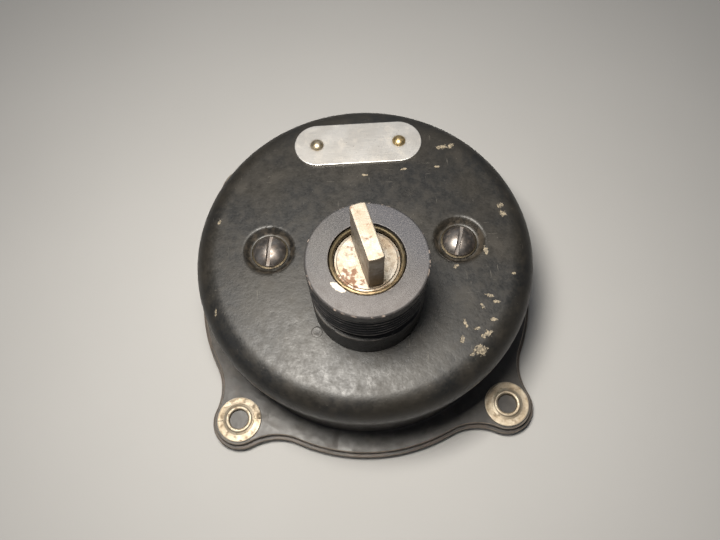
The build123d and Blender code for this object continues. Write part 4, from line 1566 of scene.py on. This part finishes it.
@dataclass
class Neck:
    """Threaded neck with its collar, and the bush in its bore."""

    bore: float = 6.9 * MM
    spigot: float = 8.2 * MM
    collar: float = 7.7 * MM
    undercut_height: float = 2.6 * MM
    undercut_depth: float = 1.1 * MM
    lip: float = 2.2 * MM
    thread_depth: float = 0.7 * MM
    thread_turns: int = 6
    thread_sunk: float = 0.3 * MM
    crest_round: float = 0.06 * MM
    steps: int = 144
    bush_gap: float = 0.12 * MM
    bush_wall: float = 0.81 * MM

    def __post_init__(self) -> None:
        """Takes places and levels from the frame."""
        solid = Round.filling(*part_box("neck"))
        self.axis, self.radius, self.foot, self.face = solid.centre, solid.radius, solid.low, solid.high
        self.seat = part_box("cover")[1].z
        self.collar_top = self.seat + self.collar
        self.thread_bottom = self.collar_top + self.undercut_height
        self.thread_top = self.face - self.lip
        self.root = self.radius - self.thread_depth

    def thread(self) -> Blank:
        """Makes the helical ridge, cut off level at both ends.

        Returns:
            The ridge.
        """
        pitch = (self.thread_top - self.thread_bottom) / self.thread_turns
        start = self.thread_bottom - pitch
        flank = (
            (self.root - self.thread_sunk, 0.5), (self.root, 0.45),
            (self.radius - self.crest_round, 0.12), (self.radius, 0.06),
        )
        ridge = [(radius, -share) for radius, share in flank] + list(reversed(flank))
        blank = Blank()
        x, y = self.axis.xy
        verts = [blank.mesh.verts.new((x + r, y, start + share * pitch)) for r, share in ridge]
        edges = [blank.mesh.edges.new(pair) for pair in zip(verts, verts[1:] + verts[:1])]
        turns = self.thread_turns + 2
        bmesh.ops.spin(
            blank.mesh, geom=verts + edges, cent=self.axis, axis=UP, dvec=(0, 0, pitch / self.steps),
            angle=FULL_TURN * turns, steps=self.steps * turns,
        )
        blank.slice(UP * (self.thread_top + 0.2 * MM), UP).slice(UP * self.thread_bottom, -UP).close()
        return blank

    def build(self) -> None:
        """Makes the neck and its bush."""
        groove = self.radius - self.undercut_depth
        core = [
            (self.bore, self.foot), (self.spigot, self.foot), (self.spigot, self.seat),
            (self.radius, self.seat), (self.radius, self.collar_top), (groove, self.collar_top),
            (groove, self.thread_bottom),
            (self.root, self.thread_bottom), (self.root, self.thread_top), (self.radius, self.thread_top),
            (self.radius, self.face), (self.bore, self.face),
        ]
        brim = self.face - 0.1 * MM
        blank = Blank().lathe(core, self.axis, self.steps)
        blank.soften(0.3 * MM, 3, lambda middle: middle.z > brim and self.outer(middle))
        blank.soften(0.25 * MM, 3, lambda middle: middle.z > self.seat + 1 * MM and self.outer(middle))
        blank.soften(0.16 * MM, 2, lambda middle: middle.z > brim and not self.outer(middle))
        finish = WornNeck(
            "blackened_neck_brass", base=(0.02, 0.02, 0.022), drift=(0.034, 0.032, 0.032),
            grime=(0.05, 0.045, 0.042), worn=(0.42, 0.34, 0.29), roughness=0.46, metallic=0.0,
            worn_metallic=0.6, drift_size=4 * MM, grain_size=0.13 * MM, relief=0.042 * MM, wear_share=0.15,
            axis=self.axis,
            radius=self.radius, bore=self.bore, face=self.face, thread_top=self.thread_top,
            thread_bottom=self.thread_bottom, collar_top=self.collar_top,
        )
        blank.add(self.thread()).piece("threaded_neck", "neck", "blackened_brass", finish)
        self.bush()

    def outer(self, place: Vector) -> bool:
        """Whether a place lies nearer to the outside than to the bore."""
        return (place - self.axis).xy.length > (self.radius + self.bore) / 2

    def bush(self) -> None:
        """Makes the bronze-brown bush in the bore."""
        solid = Round.filling(*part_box("neck_bush"))
        outside = self.bore - self.bush_gap
        inside = outside - self.bush_wall
        outline = [(inside, solid.low), (solid.radius, solid.low), (solid.radius, self.foot)]
        outline += [(outside, self.foot), (outside, solid.high), (inside, solid.high)]
        blank = Blank().lathe(outline, self.axis)
        blank.soften(0.4 * MM, 3, lambda middle: middle.z > solid.high - 0.1 * MM)
        bronze = ShadedBronze(
            "dirty_shaded_bush_bronze", base=(0.19, 0.135, 0.075), drift=(0.085, 0.06, 0.034),
            grime=(0.04, 0.028, 0.016), worn=(0.5, 0.39, 0.24), roughness=0.42, drift_size=1.8 * MM,
            grime_share=0.75, axis=self.axis,
        )
        blank.piece("neck_bore_bush", "neck_bush", "plain_brass", bronze)


@dataclass
class Drive:
    """Drive shaft with its flat tang; it turns with the rotor."""

    shoulder_below_face: float = 0.9 * MM
    tang_thickness: float = 2.8 * MM
    tang_radius: float = 5.25 * MM
    turn: float = math.radians(14.5)
    spindle: float = 3.2 * MM
    step: float = 0.45 * MM
    step_height: float = 0.3 * MM

    def build(self) -> None:
        """Makes the shaft and its tang as one piece."""
        solid = Round.filling(*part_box("drive_shaft"))
        axis, radius = solid.centre, solid.radius
        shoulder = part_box("neck")[1].z - self.shoulder_below_face
        ledge = shoulder - self.step_height
        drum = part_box("stop_sector")[1].z
        outline = [
            (0, shoulder), (radius - self.step, shoulder), (radius - self.step, ledge), (radius, ledge),
            (radius, drum), (self.spindle, drum), (self.spindle, solid.low), (0, solid.low),
        ]
        blank = Blank().lathe(outline, axis).soften(0.1 * MM, 3)
        tang = Blank().disc(axis + UP * ledge, self.tang_radius, 128)
        for side in (-1, 1):
            outwards = Vector((side, 0, 0))
            tang.slice(axis + UP * ledge + outwards * self.tang_thickness / 2, outwards)
        tang.prism(ledge, solid.high).soften(0.22 * MM, 3, lambda middle: middle.z > ledge + 0.1 * MM, 25.0)
        nickel = StainedNickel(
            "stained_shaft_nickel", base=(0.34, 0.318, 0.28), drift=(0.27, 0.24, 0.195),
            grime=(0.14, 0.09, 0.055), worn=(0.5, 0.45, 0.38), roughness=0.52, drift_size=2.6 * MM,
            grain_size=0.3 * MM, relief=0.01 * MM, grime_share=0.4, axis=axis,
            stain_centre=axis + Vector((-3.4 * MM, -3.0 * MM, shoulder)),
            stain_reach=Vector((2.2, 2.4, 2.0)) * MM,
        )
        blank.add(tang.turn(self.turn, axis))
        blank.piece("tanged_shaft", "drive_shaft", "shaft_nickel", nickel, Body.ROTOR)


@dataclass
class StopPin:
    """Stop pin, riveted in the cover and painted over, with its dished end just proud."""

    proud: float = 0.1 * MM

    def build(self) -> None:
        """Makes the pin with a shallow dish in its end."""
        solid = Round.filling(*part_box("stop_pin"))
        top = solid.high + self.proud
        dish = ((0, 0.06), (0.5, 0.04), (0.72, 0.0), (1.0, 0.02))
        outline = [(solid.radius * share, top - drop * MM) for share, drop in dish]
        outline += [(solid.radius, solid.low), (0, solid.low)]
        steel = Finish(
            "painted_pin_steel", base=(0.012, 0.0115, 0.011), drift=(0.03, 0.026, 0.022),
            grime=(0.01, 0.009, 0.008), worn=(0.06, 0.05, 0.042), roughness=0.45, metallic=0.0,
            drift_size=1.0 * MM,
        )
        blank = Blank().lathe(outline, solid.centre, 56).soften(0.06 * MM, 2)
        blank.piece("riveted_stop_pin", "stop_pin", "bright_steel", steel)


@dataclass
class Inside:
    """Dresses the CAD pieces that show at the back or lie inside the can."""

    def finishes(self) -> dict[str, Finish]:
        """Gives each material slot's finish.

        Returns:
            The finishes by slot.
        """
        return {
            "plain_brass": Finish(
                "inner_brass", base=(0.6, 0.44, 0.2), drift=(0.46, 0.32, 0.14), grime=(0.12, 0.08, 0.035),
                worn=(0.8, 0.64, 0.36), roughness=0.34, drift_size=2 * MM,
            ),
            "nickelled_brass": Finish(
                "terminal_nickel", base=(0.7, 0.62, 0.47), drift=(0.55, 0.45, 0.31), grime=(0.13, 0.1, 0.06),
                worn=(0.9, 0.82, 0.66), roughness=0.32, drift_size=1.2 * MM,
            ),
            "vane_aluminium": TurnedMetal(
                "rolled_vane_aluminium", base=(0.78, 0.78, 0.77), drift=(0.7, 0.7, 0.69),
                grime=(0.4, 0.38, 0.35), worn=(0.9, 0.9, 0.9), roughness=0.3,
                axis=Round.filling(*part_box("rotor_nut")).centre, ring_pitch=0.4 * MM,
            ),
            "dark_steel": Finish(
                "browned_flat_heads", base=(0.15, 0.13, 0.115), drift=(0.09, 0.075, 0.06),
                grime=(0.14, 0.075, 0.045), worn=(0.5, 0.42, 0.35), roughness=0.33, drift_size=1.4 * MM,
            ),
            "bright_steel": Finish(
                "ground_steel", base=(0.55, 0.54, 0.52), drift=(0.44, 0.42, 0.39), grime=(0.16, 0.1, 0.06),
                worn=(0.8, 0.8, 0.78), roughness=0.28, drift_size=1.4 * MM,
            ),
            "spring_bronze": Finish(
                "rolled_bronze", base=(0.62, 0.38, 0.2), drift=(0.5, 0.28, 0.13), grime=(0.15, 0.08, 0.04),
                worn=(0.8, 0.56, 0.34), roughness=0.32, drift_size=2 * MM,
            ),
        }

    def build(self) -> None:
        """Gives every shown CAD node the material of its slot."""
        made = {slot: finish.material() for slot, finish in self.finishes().items()}
        slots = {part["node"]: part["material_slot"] for part in frame["record"]["subparts"]}
        for name, node in frame["nodes"].items():
            if node.hide_render:
                continue
            node.data.materials.clear()
            node.data.materials.append(made[slots[name]])
            log.info("%s: CAD shape, %s", name, slots[name])


def main() -> None:
    """Builds the studio and every sub-assembly, in order."""
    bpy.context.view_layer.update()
    for kind in (Studio, Can, CornerEyelets, CoverScrews, IdentityPlate, Neck, Drive, StopPin, Inside):
        log.info("building %s", kind.__name__)
        kind().build()


if __name__ == "__main__":
    main()
